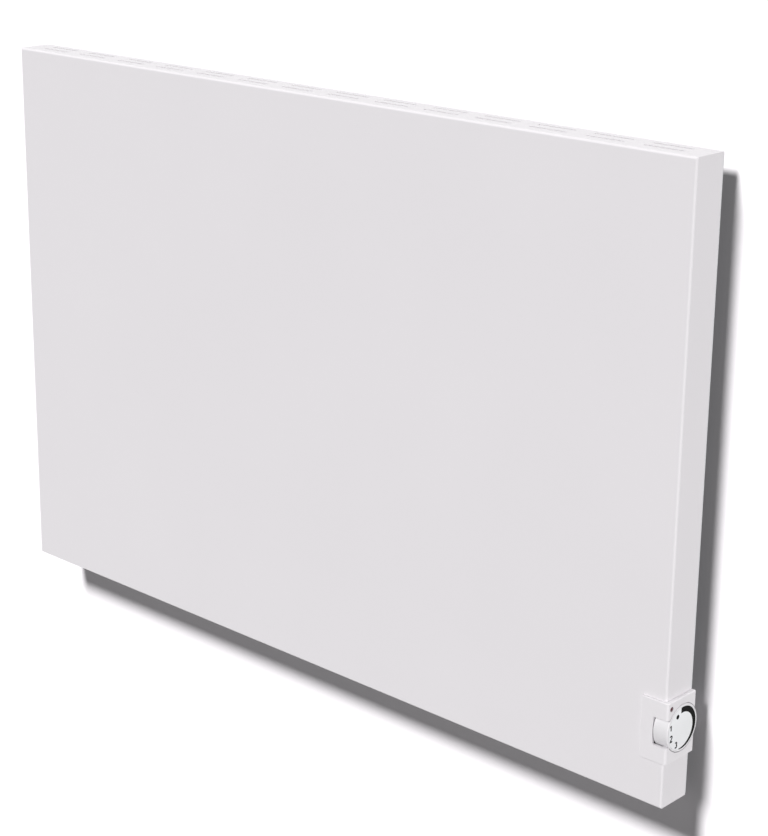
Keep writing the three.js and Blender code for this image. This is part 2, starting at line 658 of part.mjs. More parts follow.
const housingHalf = HOUSING_HEIGHT / 2;
const tongueLevel = housingHalf - 3.5; // middle of a tongue above or below the dial's axis
const tonguePlaces = [housingFront + TONGUE_INSET, housingBack - TONGUE_INSET].flatMap((y) => (
  [-1, 1].map((side) => [y, dialZ + side * tongueLevel, side])));
const ledY = front + LED_DEPTH;
const ledZ = dialZ + LED_RISE;

// Board bay with a partition that carries the spindle, and a round shroud about the wheel.
function thermostatHousing() {
  const bay = cut(
    block(bayOpenX, partitionOuterX, housingFront, housingBack, dialZ - housingHalf, dialZ + housingHalf),
    block(bayOpenX - 1, partitionInnerX, housingFront + HOUSING_WALL, housingBack - HOUSING_WALL,
      dialZ - housingHalf + HOUSING_WALL, dialZ + housingHalf - HOUSING_WALL),
  );
  const shroudEnd = right - SHEET - SEAT;
  const shroud = cut(
    turnedX(rod(wellRadius + HOUSING_WALL, partitionInnerX, shroudEnd), dialY, dialZ, 48),
    turnedX(rod(wellRadius, partitionInnerX - 1, shroudEnd + 1), dialY, dialZ, 48),
    block(bayOpenX, right, front - DEPTH, housingFront, dialZ - DEPTH, dialZ + DEPTH),
    block(bayOpenX, right, housingBack, back + DEPTH, dialZ - DEPTH, dialZ + DEPTH),
  );
  const bosses = housingScrewPlaces.map(([x, z], i) => {
    const wall = dialZ + (i === 0 ? 1 : -1) * housingHalf;
    return block(x - 4, x + 4, housingBack - 10, housingBack, Math.min(z - 4, wall), Math.max(z + 4, wall));
  });
  const bossHoles = housingScrewPlaces.map(([x, z]) => (
    turnedY(rod(SCREW_RADIUS + SEAT, housingBack - 9, housingBack + 1), x, z, 8)));
  const stopHalf = (360 - DIAL_TRAVEL - STOP_LUG_ANGLE) / 2 - STOP_CLEARANCE;
  const stopPost = ringSector(STOP_INNER_RADIUS, STOP_OUTER_RADIUS, 180 - stopHalf, 180 + stopHalf,
    partitionOuterX - 0.5, partitionOuterX + 4);
  const spindleHole = turnedX(rod(POT_BUSH_RADIUS + SEAT, partitionInnerX - 1, partitionOuterX + 1),
    dialY, dialZ, 20);
  const tongueHoles = tonguePlaces.map(([y, z, side]) => block(partitionInnerX - 1, partitionOuterX + 1,
    y - TONGUE_WIDTH / 2 - SEAT, y + TONGUE_WIDTH / 2 + SEAT,
    z - TONGUE_THICKNESS / 2 - SEAT - (side < 0 ? TONGUE_BARB : 0),
    z + TONGUE_THICKNESS / 2 + SEAT + (side > 0 ? TONGUE_BARB : 0)));
  const leadHole = block(partitionInnerX - 1, partitionOuterX + 1, ledLeadY - 0.6, ledLeadY + 0.6,
    ledZ - 1.4, ledZ + 1.4);
  const sensorHole = turnedZ(rod(SENSOR_RADIUS + SEAT, dialZ - housingHalf - 1,
    dialZ - housingHalf + HOUSING_WALL + 1), sensorX, dialY, 12);
  return cut(join(bay, shroud, ...bosses, stopPost), ...bossHoles, spindleHole, ...tongueHoles, leadHole,
    sensorHole);
}

const ledLeadY = housingFront + HOUSING_WALL + 1.2;
const boardX = partitionInnerX - HOUSING_BAY + 5; // outer face of the board
const boardFaceX = boardX + BOARD_THICKNESS;
const sensorX = boardFaceX + 6;

// Moulded collar that wraps the casing's lower right corner round the wheel.
function thermostatCollar() {
  const left = right - COLLAR_FRONT_WIDTH;
  const outer = right + COLLAR_SIDE_PROUD;
  const face = front - COLLAR_FRONT_PROUD;
  const half = COLLAR_HEIGHT / 2;
  const corner = [];
  for (let i = 0; i <= 6; i += 1) {
    const angle = (Math.PI / 2) * (i / 6);
    corner.push([outer - COLLAR_CORNER + COLLAR_CORNER * Math.sin(angle),
      face + COLLAR_CORNER - COLLAR_CORNER * Math.cos(angle)]);
  }
  const plan = alongZ(outline([[left, face + COLLAR_EDGE], [left + COLLAR_EDGE, face], ...corner,
    [outer, back - COLLAR_EDGE], [outer - COLLAR_EDGE, back], [left, back]]), dialZ - half, dialZ + half);
  const bevel = {
    bevelEnabled: true,
    bevelThickness: COLLAR_EDGE,
    bevelSize: COLLAR_EDGE,
    bevelOffset: -COLLAR_EDGE,
    bevelSegments: 2,
  };
  const frontBevel = alongY(rectangle(left - DEPTH, outer + DEPTH, dialZ - half, dialZ + half),
    face + COLLAR_EDGE, back + DEPTH, bevel);
  const sideBevel = alongX(rectangle(face - DEPTH, back + DEPTH, dialZ - half, dialZ + half),
    left - DEPTH, outer - COLLAR_EDGE, bevel);
  const casing = foldedBlock(-SEAT, front - SEAT, back + DEPTH, FOLD_RADIUS + SEAT);
  const opening = turnedX(rod(wellRadius, right - DEPTH, outer + 1), dialY, dialZ, DIAL_FACETS);
  const reach = join(cut(opening, block(left - DEPTH, right, front - DEPTH, back + DEPTH,
    dialZ - DEPTH, dialZ + DEPTH)), block(dialInnerX - WINDOW_PLAY, outer + 1, face - 1, front + 4,
    dialZ - WINDOW_HEIGHT / 2, dialZ + WINDOW_HEIGHT / 2));
  const ledHole = turnedX(rod(LED_RADIUS + SEAT, right - 2, outer + 1), ledY, ledZ, 16);
  const ledSeat = turnedX(rod(LENS_FLANGE_RADIUS + SEAT, right - 2, right + SEAT), ledY, ledZ, 16);
  const wings = cut(plan.intersect(frontBevel).intersect(sideBevel), casing, reach, ledHole, ledSeat);
  return join(wings, ...tonguePlaces.map(([y, z, side]) => snapTongue(y, z, side)));
}

// Tongue from the collar's side wing that catches behind the housing's partition.
function snapTongue(y, z, side) {
  const half = TONGUE_THICKNESS / 2;
  const tip = partitionInnerX - 3;
  const catchX = partitionInnerX - SEAT;
  const points = [
    [right + SEAT + 1, -half], [right + SEAT + 1, half], [catchX, half], [catchX, half + TONGUE_BARB],
    [tip, half - 0.4], [tip, -half],
  ];
  const shape = outline(points.map(([x, v]) => [x, z + side * v]));
  return alongY(shape, y - TONGUE_WIDTH / 2, y + TONGUE_WIDTH / 2);
}

const lugCentre = 180 + (360 - DIAL_TRAVEL) / 2; // at rest, against the first stop
const hubRadius = SPINDLE_RADIUS + RUNNING_CLEARANCE + 2;

// Cup-shaped thumb wheel with a hub that fits the spindle's flat, and a lug between the stops.
function dialWheel() {
  const rimFrom = dialInnerX;
  const shoulder = dialFaceX - DIAL_EDGE;
  const edge = [];
  for (let i = 0; i <= 4; i += 1) {
    const angle = (Math.PI / 2) * (i / 4);
    edge.push([DIAL_RADIUS - DIAL_EDGE * (1 - Math.cos(angle)), shoulder + DIAL_EDGE * Math.sin(angle)]);
  }
  const cup = turnedX([
    [0, hubEnd], [hubRadius, hubEnd], [hubRadius, dialFaceX - DIAL_FACE],
    [DIAL_RADIUS - DIAL_WALL, dialFaceX - DIAL_FACE], [DIAL_RADIUS - DIAL_WALL, rimFrom],
    [DIAL_RADIUS, rimFrom], ...edge, [0, dialFaceX],
  ], dialY, dialZ, DIAL_FACETS);
  const lug = ringSector(hubRadius - 0.6, STOP_OUTER_RADIUS - 0.6, lugCentre - STOP_LUG_ANGLE / 2,
    lugCentre + STOP_LUG_ANGLE / 2, partitionOuterX + 1, dialFaceX - DIAL_FACE / 2, 4);
  const flatBore = cut(
    turnedX(rod(SPINDLE_RADIUS + SEAT, hubEnd - 1, boreEnd), dialY, dialZ, 20),
    block(hubEnd - 2, boreEnd + 1, dialY - DEPTH, dialY + DEPTH, dialZ + SPINDLE_FLAT + SEAT, dialZ + DEPTH),
  );
  return cut(join(cup, lug), flatBore);
}

const hubEnd = partitionOuterX + 3.2;
const boreEnd = dialFaceX - DIAL_FACE;

function dialSpindle() {
  const from = boardFaceX + SEAT + 1.6;
  const to = boreEnd - SEAT;
  const shaft = turnedX([[0, from], [SPINDLE_RADIUS, from], [SPINDLE_RADIUS, to - 0.5],
    [SPINDLE_RADIUS - 0.5, to], [0, to]], dialY, dialZ, 20);
  const flat = block(hubEnd - 1, to + 1, dialY - DEPTH, dialY + DEPTH, dialZ + SPINDLE_FLAT, dialZ + DEPTH);
  return cut(shaft, flat);
}

// Round body on the board, with a threaded bush through the partition and three solder legs.
function potentiometer() {
  const from = boardFaceX + SEAT;
  const bodyTo = from + POT_HEIGHT;
  const bushTo = partitionOuterX + 2.6;
  const bore = SPINDLE_RADIUS + RUNNING_CLEARANCE;
  const body = turnedX([
    [0, from], [POT_RADIUS, from], [POT_RADIUS, bodyTo], [POT_BUSH_RADIUS, bodyTo],
    [POT_BUSH_RADIUS, bushTo], [bore, bushTo], [bore, from + 1.2], [0, from + 1.2],
  ], dialY, dialZ, 24);
  const legs = block(from, from + 2, dialY - 6, dialY + 6, dialZ - POT_RADIUS - 4, dialZ - POT_RADIUS + 2);
  return join(body, legs);
}

function controlBoard() {
  const half = BOARD_HEIGHT / 2;
  return block(boardX, boardFaceX, housingFront + HOUSING_WALL + BOARD_MARGIN,
    housingBack - HOUSING_WALL - BOARD_MARGIN, dialZ - half, dialZ + half);
}

// LED with two leads that run back through the partition to the board.
function statusLed() {
  const base = right - 9;
  const tip = right - 1.2;
  const body = turnedX([
    [0, base], [LED_RADIUS + 0.3, base], [LED_RADIUS + 0.3, base + 1], [LED_RADIUS, base + 1],
    [LED_RADIUS, tip - 1.2], [LED_RADIUS * 0.6, tip - 0.3], [0, tip],
  ], ledY, ledZ, 12);
  const leads = [-0.6, 0.6].map((offset) => {
    const z = ledZ + offset;
    return join(
      block(base - 1.5, base + 0.5, ledY - 0.25, ledY + 0.25, z - 0.25, z + 0.25),
      block(base - 1.5, base - 1, ledY - 0.25, ledLeadY + 0.25, z - 0.25, z + 0.25),
      block(boardFaceX + SEAT, base - 1, ledLeadY - 0.25, ledLeadY + 0.25, z - 0.25, z + 0.25),
    );
  });
  return join(body, ...leads);
}

// Lens pressed into the collar, with a flange on its hidden side.
function ledLens() {
  const face = right + COLLAR_SIDE_PROUD + 0.3;
  return turnedX([
    [0, right - 0.6], [LENS_FLANGE_RADIUS, right - 0.6], [LENS_FLANGE_RADIUS, right],
    [LED_RADIUS, right], [LED_RADIUS, face - 0.5], [LED_RADIUS * 0.7, face], [0, face],
  ], ledY, ledZ, 16);
}

// Glass bead that tastes the incoming air below the housing, on two stiff leads.
function roomSensor() {
  const low = dialZ - housingHalf - SENSOR_REACH;
  const high = dialZ - housingHalf + HOUSING_WALL + 2;
  const bead = turnedZ([[0, low], [SENSOR_RADIUS * 0.7, low + 0.6], [SENSOR_RADIUS, low + 1.6],
    [SENSOR_RADIUS, high], [0, high]], sensorX, dialY, 12);
  const lead = block(boardFaceX + SEAT, sensorX, dialY - 0.3, dialY + 0.3, high - 0.8, high - 0.2);
  return join(bead, lead);
}

const relay = () => block(boardFaceX + SEAT, boardFaceX + SEAT + 10, housingFront + HOUSING_WALL + 4,
  housingFront + HOUSING_WALL + 19, dialZ + POT_RADIUS + 2.5, dialZ + POT_RADIUS + 12.5);

const poleWireX = bayOpenX - WIRE_RADIUS - 1; // the leads pass just outside the bay
const connectorTo = boardX - SEAT;
const connectorFrom = poleWireX - 3.5;
const connectorLow = dialZ + 4;
const connectorHigh = connectorLow + 11;
const poleOffsets = [-8, 0, 8];

// Three-way plug on the back of the board, with a pocket for each lead.
function boardConnector() {
  const body = block(connectorFrom, connectorTo, dialY - 13, dialY + 13, connectorLow, connectorHigh);
  const pockets = poleOffsets.map((offset) => turnedZ(rod(WIRE_RADIUS + SEAT, connectorHigh - PLUG_POCKET,
    connectorHigh + 1), poleWireX, dialY + offset, 8));
  return cut(body, ...pockets);
}

add('thermostat_housing', GREY_PLASTIC, thermostatHousing());
add('thermostat_collar', WHITE_PLASTIC, thermostatCollar());
add('dial_wheel', WHITE_PLASTIC, dialWheel());
add('dial_spindle', BRASS, dialSpindle());
add('potentiometer', STEEL, potentiometer());
add('control_board', BOARD_GREEN, controlBoard());
add('relay', BLACK_PLASTIC, relay());
add('board_connector', WHITE_PLASTIC, boardConnector());
add('status_led', RED_LENS, statusLed());
add('led_lens', RED_LENS, ledLens());
add('room_sensor', BLACK_PLASTIC, roomSensor());

// ---------------------------------------------------------------- supply side

const terminalX = right - TERMINAL_INSET;
const terminalZ = -top + TERMINAL_LEVEL;
const terminalBack = rearInner - SEAT;
const terminalFront = terminalBack - TERMINAL_DEPTH;
const terminalPitch = TERMINAL_WIDTH / 3;
const poleX = (pole) => terminalX + (pole - 1) * terminalPitch;
const terminalWireY = terminalBack - TERMINAL_DEPTH / 2;
const terminalLow = terminalZ - TERMINAL_HEIGHT / 2;
const terminalHigh = terminalZ + TERMINAL_HEIGHT / 2;

// Three-pole block: wire pockets below and above, and a screw well in front of each pole.
function terminalBlock() {
  const body = block(terminalX - TERMINAL_WIDTH / 2, terminalX + TERMINAL_WIDTH / 2, terminalFront,
    terminalBack, terminalLow, terminalHigh);
  const hole = WIRE_RADIUS + SEAT;
  const cuts = [0, 1, 2].flatMap((pole) => [
    turnedZ(rod(hole, terminalLow - 1, terminalLow + TERMINAL_POCKET), poleX(pole), terminalWireY, 8),
    turnedZ(rod(hole, terminalHigh - TERMINAL_POCKET, terminalHigh + 1), poleX(pole), terminalWireY, 8),
    turnedY(rod(hole * 1.6, terminalFront - 1, terminalFront + 3), poleX(pole), terminalZ, 10),
  ]);
  return cut(body, ...cuts);
}

// Flanged bush in the rear panel where the supply lead comes in.
function cableGland() {
  const flangeFrom = back + SEAT;
  return turnedY([
    [GLAND_BORE_RADIUS, rearInner - 7], [GLAND_RADIUS, rearInner - 7], [GLAND_RADIUS, flangeFrom],
    [GLAND_FLANGE_RADIUS, flangeFrom], [GLAND_FLANGE_RADIUS, flangeFrom + 3],
    [GLAND_RADIUS, flangeFrom + 3.5], [GLAND_RADIUS - 1, flangeFrom + GLAND_REACH],
    [GLAND_BORE_RADIUS, flangeFrom + GLAND_REACH], [GLAND_BORE_RADIUS, rearInner - 7],
  ], glandX, glandZ, 24);
}

// A hexagonal nut on the room side of the rear panel.
function panelNut(x, z, hole, acrossFlats, thickness) {
  const reach = acrossFlats / Math.sqrt(3);
  const corners = Array.from({ length: 6 }, (_, i) => {
    const angle = (Math.PI / 3) * i;
    return [x + reach * Math.cos(angle), z + reach * Math.sin(angle)];
  });
  const seat = rearInner - SEAT;
  return cut(alongY(outline(corners), seat - thickness, seat),
    turnedY(rod(hole + SEAT, seat - thickness - 1, seat + 1), x, z, 16));
}

const earthStud = () => turnedY([
  [0, rearInner - 11], [EARTH_RADIUS - 0.4, rearInner - 11], [EARTH_RADIUS, rearInner - 10.4],
  [EARTH_RADIUS, back + SEAT], [EARTH_RADIUS * 2, back + SEAT], [EARTH_RADIUS * 1.8, back + 2.2],
  [0, back + 2.2],
], earthX, earthZ, 12);

add('terminal_block', WHITE_PLASTIC, terminalBlock());
add('cable_gland', BLACK_PLASTIC, cableGland());
add('gland_nut', BLACK_PLASTIC, panelNut(glandX, glandZ, GLAND_RADIUS, 19, 4));
add('earth_stud', BRASS, earthStud());
add('earth_nut', BRASS, panelNut(earthX, earthZ, EARTH_RADIUS, 7, 3));

// ---------------------------------------------------------------- internal wires

const plugEntry = connectorHigh - PLUG_POCKET + SEAT;
const plugLeave = connectorHigh + WIRE_STRAIGHT;
const terminalEntry = terminalLow + TERMINAL_POCKET - SEAT;
const terminalLeave = terminalLow - WIRE_STRAIGHT;
const rodEndX = elementRight + ROD_OVERHANG;
const rodStartX = elementLeft - ROD_OVERHANG;
const sideRunX = right - SIDE_RUN_INSET;
const endRunX = rodStartX - END_RUN_REACH;
const shieldRunY = shieldFace - SHIELD_RUN_GAP;
const shieldRunZ = cutoutZ + SHIELD_RUN_RISE;
const tabY = cutoutCap - TAB_LENGTH / 2;
const tabReach = (TAB_SPACING + TAB_THICKNESS) / 2 + SEAT;
const studWireY = rearInner - STUD_WIRE_GAP;

// From a pole of the terminal block down to a pole of the board's plug.
function supplyWire(pole, plugPole) {
  const y = dialY + poleOffsets[plugPole];
  return wireSolid([
    [poleX(pole), terminalWireY, terminalEntry],
    [poleX(pole), terminalWireY, terminalLeave],
    [poleX(pole) + WIRE_DRIFT, terminalWireY - WIRE_DRIFT / 2, terminalLeave - WIRE_SWEEP],
    [poleWireX - WIRE_DRIFT / 2, y + WIRE_DRIFT / 2, plugLeave + WIRE_SWEEP],
    [poleWireX, y, plugLeave],
    [poleWireX, y, plugEntry],
  ], 18);
}

// From a tab of the cut-out to the level run above it, on one side.
const fromCutout = (side) => [
  [cutoutX + side * tabReach, tabY, cutoutZ],
  [cutoutX + side * (tabReach + WIRE_STRAIGHT / 2), tabY, cutoutZ],
  [cutoutX + side * (tabReach + WIRE_STRAIGHT), (tabY + shieldRunY) / 2, (cutoutZ + shieldRunZ) / 2],
  [cutoutX + side * WIRE_SWEEP * 2, shieldRunY, shieldRunZ],
];

add('live_wire', BROWN_WIRE, supplyWire(1, 1));
add('neutral_wire', BLUE_WIRE, supplyWire(2, 2));
add('earth_wire', GREEN_WIRE, wireSolid([
  [poleX(0), terminalWireY, terminalHigh - TERMINAL_POCKET + SEAT],
  [poleX(0), terminalWireY, terminalHigh],
  [poleX(0), terminalWireY, terminalHigh + WIRE_DRIFT],
  [earthX + WIRE_DRIFT * 3, studWireY - WIRE_RADIUS, earthZ],
  [earthX + WIRE_DRIFT, studWireY, earthZ],
  [earthX + EARTH_RADIUS + SEAT, studWireY, earthZ],
], 12));
add('cutout_wire', BROWN_WIRE, wireSolid([
  [poleWireX, dialY + poleOffsets[0], plugEntry],
  [poleWireX, dialY + poleOffsets[0], plugLeave],
  [sideRunX, dialY - WIRE_DRIFT, terminalLow - WIRE_SWEEP],
  [sideRunX, dialY, terminalHigh + WIRE_SWEEP * 2],
  [sideRunX - WIRE_STRAIGHT, shieldRunY, shieldRunZ - WIRE_SWEEP],
  [sideRunX - WIRE_SWEEP * 2, shieldRunY, shieldRunZ],
  ...fromCutout(1).reverse(),
], 34));
add('element_wire_left', BROWN_WIRE, wireSolid([
  ...fromCutout(-1),
  [rodStartX + WIRE_SWEEP * 2, shieldRunY, shieldRunZ],
  [rodStartX - END_RUN_REACH / 2, shieldRunY, shieldRunZ - WIRE_SWEEP],
  [endRunX, elementY, elementZ + WIRE_SWEEP * 4],
  [endRunX, elementY, elementZ + WIRE_SWEEP],
  [rodStartX - END_RUN_REACH / 2, elementY, elementZ],
  [rodStartX - SEAT, elementY, elementZ],
], 34));
add('element_wire_right', BLUE_WIRE, wireSolid([
  [rodEndX + SEAT, elementY, elementZ],
  [rodEndX + END_RUN_REACH / 2, elementY, elementZ],
  [rodEndX + END_RUN_REACH, elementY + WIRE_DRIFT / 2, elementZ + WIRE_SWEEP],
  [poleX(0) - WIRE_DRIFT, terminalWireY, terminalLow - WIRE_SWEEP],
  [poleX(0), terminalWireY, terminalLeave],
  [poleX(0), terminalWireY, terminalEntry],
], 16));

export default heater;
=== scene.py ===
"""Wall panel convector heater: the finished look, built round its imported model.

Everything is in metres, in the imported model's own frame: +X to the right as seen from the room,
+Y into the wall and +Z up, with the origin on the wall at the middle of the bracket.
"""

import json
import logging
import math
from collections.abc import Callable, Iterable, Iterator
from contextlib import contextmanager
from dataclasses import dataclass, field
from enum import Enum

import bmesh
import bpy
from mathutils import Matrix, Vector


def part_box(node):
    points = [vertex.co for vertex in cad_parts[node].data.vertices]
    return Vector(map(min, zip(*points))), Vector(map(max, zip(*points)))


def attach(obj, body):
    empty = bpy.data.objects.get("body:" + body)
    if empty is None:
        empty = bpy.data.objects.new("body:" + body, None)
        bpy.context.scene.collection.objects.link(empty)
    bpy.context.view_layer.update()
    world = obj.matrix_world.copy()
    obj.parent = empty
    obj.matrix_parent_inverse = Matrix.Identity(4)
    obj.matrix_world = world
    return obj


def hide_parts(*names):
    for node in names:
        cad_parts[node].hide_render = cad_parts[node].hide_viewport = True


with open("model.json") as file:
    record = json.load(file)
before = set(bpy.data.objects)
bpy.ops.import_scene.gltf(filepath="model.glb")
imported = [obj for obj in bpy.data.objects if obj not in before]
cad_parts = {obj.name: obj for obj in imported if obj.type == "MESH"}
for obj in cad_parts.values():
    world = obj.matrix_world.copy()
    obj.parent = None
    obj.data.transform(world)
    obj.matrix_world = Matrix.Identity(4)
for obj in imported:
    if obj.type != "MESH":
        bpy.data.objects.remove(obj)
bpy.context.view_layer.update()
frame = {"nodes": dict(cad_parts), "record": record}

LOG = logging.getLogger("heater")
MM = 0.001
TINY = 1e-5
CLEAR = 1 * MM  # how far a cutting tool stands past what it cuts
DIAL_Y, DIAL_Z = -37.8 * MM, -223.5 * MM  # the thumb wheel's axis, along X
LAMP_Y, LAMP_Z = -55.4 * MM, -199.5 * MM  # the lamp's axis, along X
FACING = 0.9  # a face whose normal has more than this along a direction looks that way
WHITE = (1.0, 1.0, 1.0)

Pair = tuple[float, float]
Point = tuple[float, float, float]
Piece = bpy.types.Object
Socket = bpy.types.NodeSocket


# ---------------------------------------------------------------- shader maths


class Value:
    """A number socket of a shader, on which Python's arithmetic adds Math nodes."""

    def __init__(self, graph: "Graph", socket: Socket) -> None:
        """Wraps one socket of a graph."""
        self.graph = graph
        self.socket = socket

    def _math(self, operation: str, *terms: object) -> "Value":
        """Adds one Math node.

        Args:
            operation: what the node does.
            terms: its numbers or values, in order.

        Returns:
            The result as a value.
        """
        node = self.graph.add("ShaderNodeMath", {"operation": operation}, dict(enumerate(terms)))
        return Value(self.graph, node.outputs[0])

    def __add__(self, other: object) -> "Value":
        """Sum."""
        return self._math("ADD", self, other)

    def __radd__(self, other: object) -> "Value":
        """Sum, with the plain number first."""
        return self._math("ADD", other, self)

    def __sub__(self, other: object) -> "Value":
        """Difference."""
        return self._math("SUBTRACT", self, other)

    def __rsub__(self, other: object) -> "Value":
        """Difference, with the plain number first."""
        return self._math("SUBTRACT", other, self)

    def __mul__(self, other: object) -> "Value":
        """Product."""
        return self._math("MULTIPLY", self, other)

    def __rmul__(self, other: object) -> "Value":
        """Product, with the plain number first."""
        return self._math("MULTIPLY", other, self)

    def wrapped(self, low: float, high: float) -> "Value":
        """The value brought back between two bounds, as in a repeating pattern."""
        return self._math("WRAP", self, high, low)

    def above(self, bound: object) -> "Value":
        """1 where the value is above a bound, and 0 elsewhere."""
        return self._math("GREATER_THAN", self, bound)

    def at_least(self, other: object) -> "Value":
        """The larger of the value and another."""
        return self._math("MAXIMUM", self, other)

    def eased(self, low: float, high: float) -> "Value":
        """Brings the value smoothly from 0 to 1.

        Args:
            low: where it leaves 0.
            high: where it reaches 1.

        Returns:
            The eased value.
        """
        node = self.graph.add("ShaderNodeMapRange", {"interpolation_type": "SMOOTHSTEP"},
                              {"Value": self, "From Min": low, "From Max": high})
        return Value(self.graph, node.outputs["Result"])


class Graph:
    """The nodes of one material or world."""

    def __init__(self, owner: bpy.types.Material | bpy.types.World) -> None:
        """Takes over the nodes of a new material or world.

        Args:
            owner: the material or world, as it was made.
        """
        owner.use_nodes = True
        self.owner = owner
        self.tree = owner.node_tree

    @classmethod
    def of_material(cls, name: str) -> "Graph":
        """Starts a new material, with its plain surface shader."""
        return cls(bpy.data.materials.new(name))

    def add(self, kind: str, settings: dict | None = None,
            inputs: dict | None = None) -> bpy.types.Node:
        """Adds a node.

        Args:
            kind: type of the node.
            settings: its own settings, by name.
            inputs: values or links of its sockets, by name or number.

        Returns:
            The new node.
        """
        node = self.tree.nodes.new(kind)
        for name, setting in (settings or {}).items():
            setattr(node, name, setting)
        self.feed(node, inputs or {})
        return node

    def feed(self, node: bpy.types.Node, inputs: dict) -> None:
        """Sets or links the sockets of a node.

        Args:
            node: the node to feed.
            inputs: values, sockets or wrapped sockets, by the socket's name or number.
        """
        for key, given in inputs.items():
            source = given.socket if isinstance(given, Value) else given
            if isinstance(source, bpy.types.NodeSocket):
                self.tree.links.new(source, node.inputs[key])
            elif isinstance(source, tuple) and len(source) == 3 and node.inputs[key].type == "RGBA":
                node.inputs[key].default_value = (*source, 1.0)
            else:
                node.inputs[key].default_value = source

    def place(self) -> Socket:
        """The point on the piece, in its own coordinates."""
        return self.add("ShaderNodeTexCoord").outputs["Object"]

    def scaled_place(self, stretch: Point) -> Socket:
        """The point on the piece with each axis stretched, for patterns with a direction."""
        node = self.add("ShaderNodeMapping", {}, {"Vector": self.place(), "Scale": stretch})
        return node.outputs["Vector"]

    def split_place(self) -> tuple[Value, Value, Value]:
        """The three coordinates of the point on the piece."""
        node = self.add("ShaderNodeSeparateXYZ", {}, {0: self.place()})
        return tuple(Value(self, output) for output in node.outputs)

    def noise(self, scale: float, detail: float = 2.0, where: Socket | None = None) -> Value:
        """Soft noise between 0 and 1.

        Args:
            scale: bumps per metre.
            detail: how many finer layers it has.
            where: coordinates, or the piece's own if left out.

        Returns:
            The noise as a value.
        """
        node = self.add("ShaderNodeTexNoise", {},
                        {"Vector": where or self.place(), "Scale": scale, "Detail": detail})
        return Value(self, node.outputs[0])

    def mixed(self, share: object, first: object, second: object) -> Socket:
        """Two colours mixed by a share between 0 and 1."""
        node = self.add("ShaderNodeMix", {"data_type": "RGBA"}, {0: share, 6: first, 7: second})
        return node.outputs[2]

    def toned(self, color: Point, share: object, low: float, high: float) -> Socket:
        """A colour that varies in lightness.

        Args:
            color: the plain colour.
            share: the pattern, between 0 and 1.
            low: lightness where the pattern is 0, as a share of the colour.
            high: lightness where it is 1.

        Returns:
            The varied colour.
        """
        return self.mixed(share, shade(color, low), shade(color, high))

    def bump(self, height: object, distance: float, strength: float = 1.0) -> Socket:
        """A normal from a height pattern.

        Args:
            height: the pattern, between 0 and 1.
            distance: depth of the pattern in metres.
            strength: share of the effect.

        Returns:
            The normal.
        """
        node = self.add("ShaderNodeBump", {},
                        {"Height": height, "Distance": distance, "Strength": strength})
        return node.outputs["Normal"]

    def finish(self, **inputs: object) -> bpy.types.Material:
        """Feeds the surface shader.

        Args:
            inputs: what its sockets get, with underscores for the spaces in their names.

        Returns:
            The finished material.
        """
        surface = self.tree.nodes["Principled BSDF"]
        self.feed(surface, {name.replace("_", " "): given for name, given in inputs.items()})
        return self.owner

    def show(self, output: str, shader: bpy.types.Node) -> None:
        """Links a shader to the named output node."""
        self.feed(self.tree.nodes[output], {"Surface": shader.outputs[0]})


def shade(color: Point, share: float) -> Point:
    """A colour made lighter or darker by a share."""
    return tuple(min(1.0, channel * share) for channel in color)


# ---------------------------------------------------------------- finishes


@dataclass(frozen=True)
class PowderCoat:
    """Satin powder coat on sheet steel: a fine orange peel and a faint change of tone."""

    color: Point = (0.758, 0.735, 0.758)
    roughness: float = 0.46
    peel_per_metre: float = 620.0
    peel_depth: float = 0.05 * MM
    clouds_per_metre: float = 7.0

    def material(self, name: str) -> bpy.types.Material:
        """Makes the paint.

        Args:
            name: name of the material.

        Returns:
            The material.
        """
        graph = Graph.of_material(name)
        peel = graph.noise(self.peel_per_metre, 3.0)
        cloud = graph.noise(self.clouds_per_metre)
        return graph.finish(
            Base_Color=graph.toned(self.color, cloud, 0.985, 1.015),
            Roughness=self.roughness - 0.04 + 0.08 * graph.noise(160.0),
            Normal=graph.bump(peel, self.peel_depth, 0.35),
            Specular_IOR_Level=0.4,
        )


@dataclass(frozen=True)
class Moulding:
    """Moulded plastic with a fine spark-eroded texture."""

    color: Point
    roughness: float = 0.4
    grain_per_metre: float = 2600.0
    grain_depth: float = 0.012 * MM

    def material(self, name: str) -> bpy.types.Material:
        """Makes the plastic.

        Args:
            name: name of the material.

        Returns:
            The material.
        """
        graph = Graph.of_material(name)
        grain = graph.noise(self.grain_per_metre)
        return graph.finish(
            Base_Color=graph.toned(self.color, graph.noise(90.0), 0.98, 1.02),
            Roughness=self.roughness - 0.03 + 0.06 * graph.noise(400.0),
            Normal=graph.bump(grain, self.grain_depth, 0.5),
            Specular_IOR_Level=0.45,
        )


@dataclass(frozen=True)
class ZincSheet:
    """Galvanised sheet steel with the flowered pattern of its zinc."""

    color: Point = (0.56, 0.575, 0.585)
    roughness: float = 0.42
    flower_per_metre: float = 95.0

    def material(self, name: str) -> bpy.types.Material:
        """Makes the zinc.

        Args:
            name: name of the material.

        Returns:
            The material.
        """
        graph = Graph.of_material(name)
        warped = graph.add("ShaderNodeVectorMath", {"operation": "SCALE"},
                           {0: graph.place(), "Scale": 1.0 + 0.01 * graph.noise(60.0, 3.0)})
        flower = graph.add("ShaderNodeTexVoronoi", {},
                           {"Vector": warped.outputs[0], "Scale": self.flower_per_metre})
        tone = graph.add("ShaderNodeSeparateColor", {}, {0: flower.outputs["Color"]})
        petal = Value(graph, tone.outputs[0])
        return graph.finish(
            Base_Color=graph.toned(self.color, petal, 0.9, 1.08),
            Metallic=0.9,
            Roughness=self.roughness - 0.08 + 0.16 * petal + 0.05 * graph.noise(700.0),
            Normal=graph.bump(flower.outputs["Distance"], 0.02 * MM, 0.3),
        )


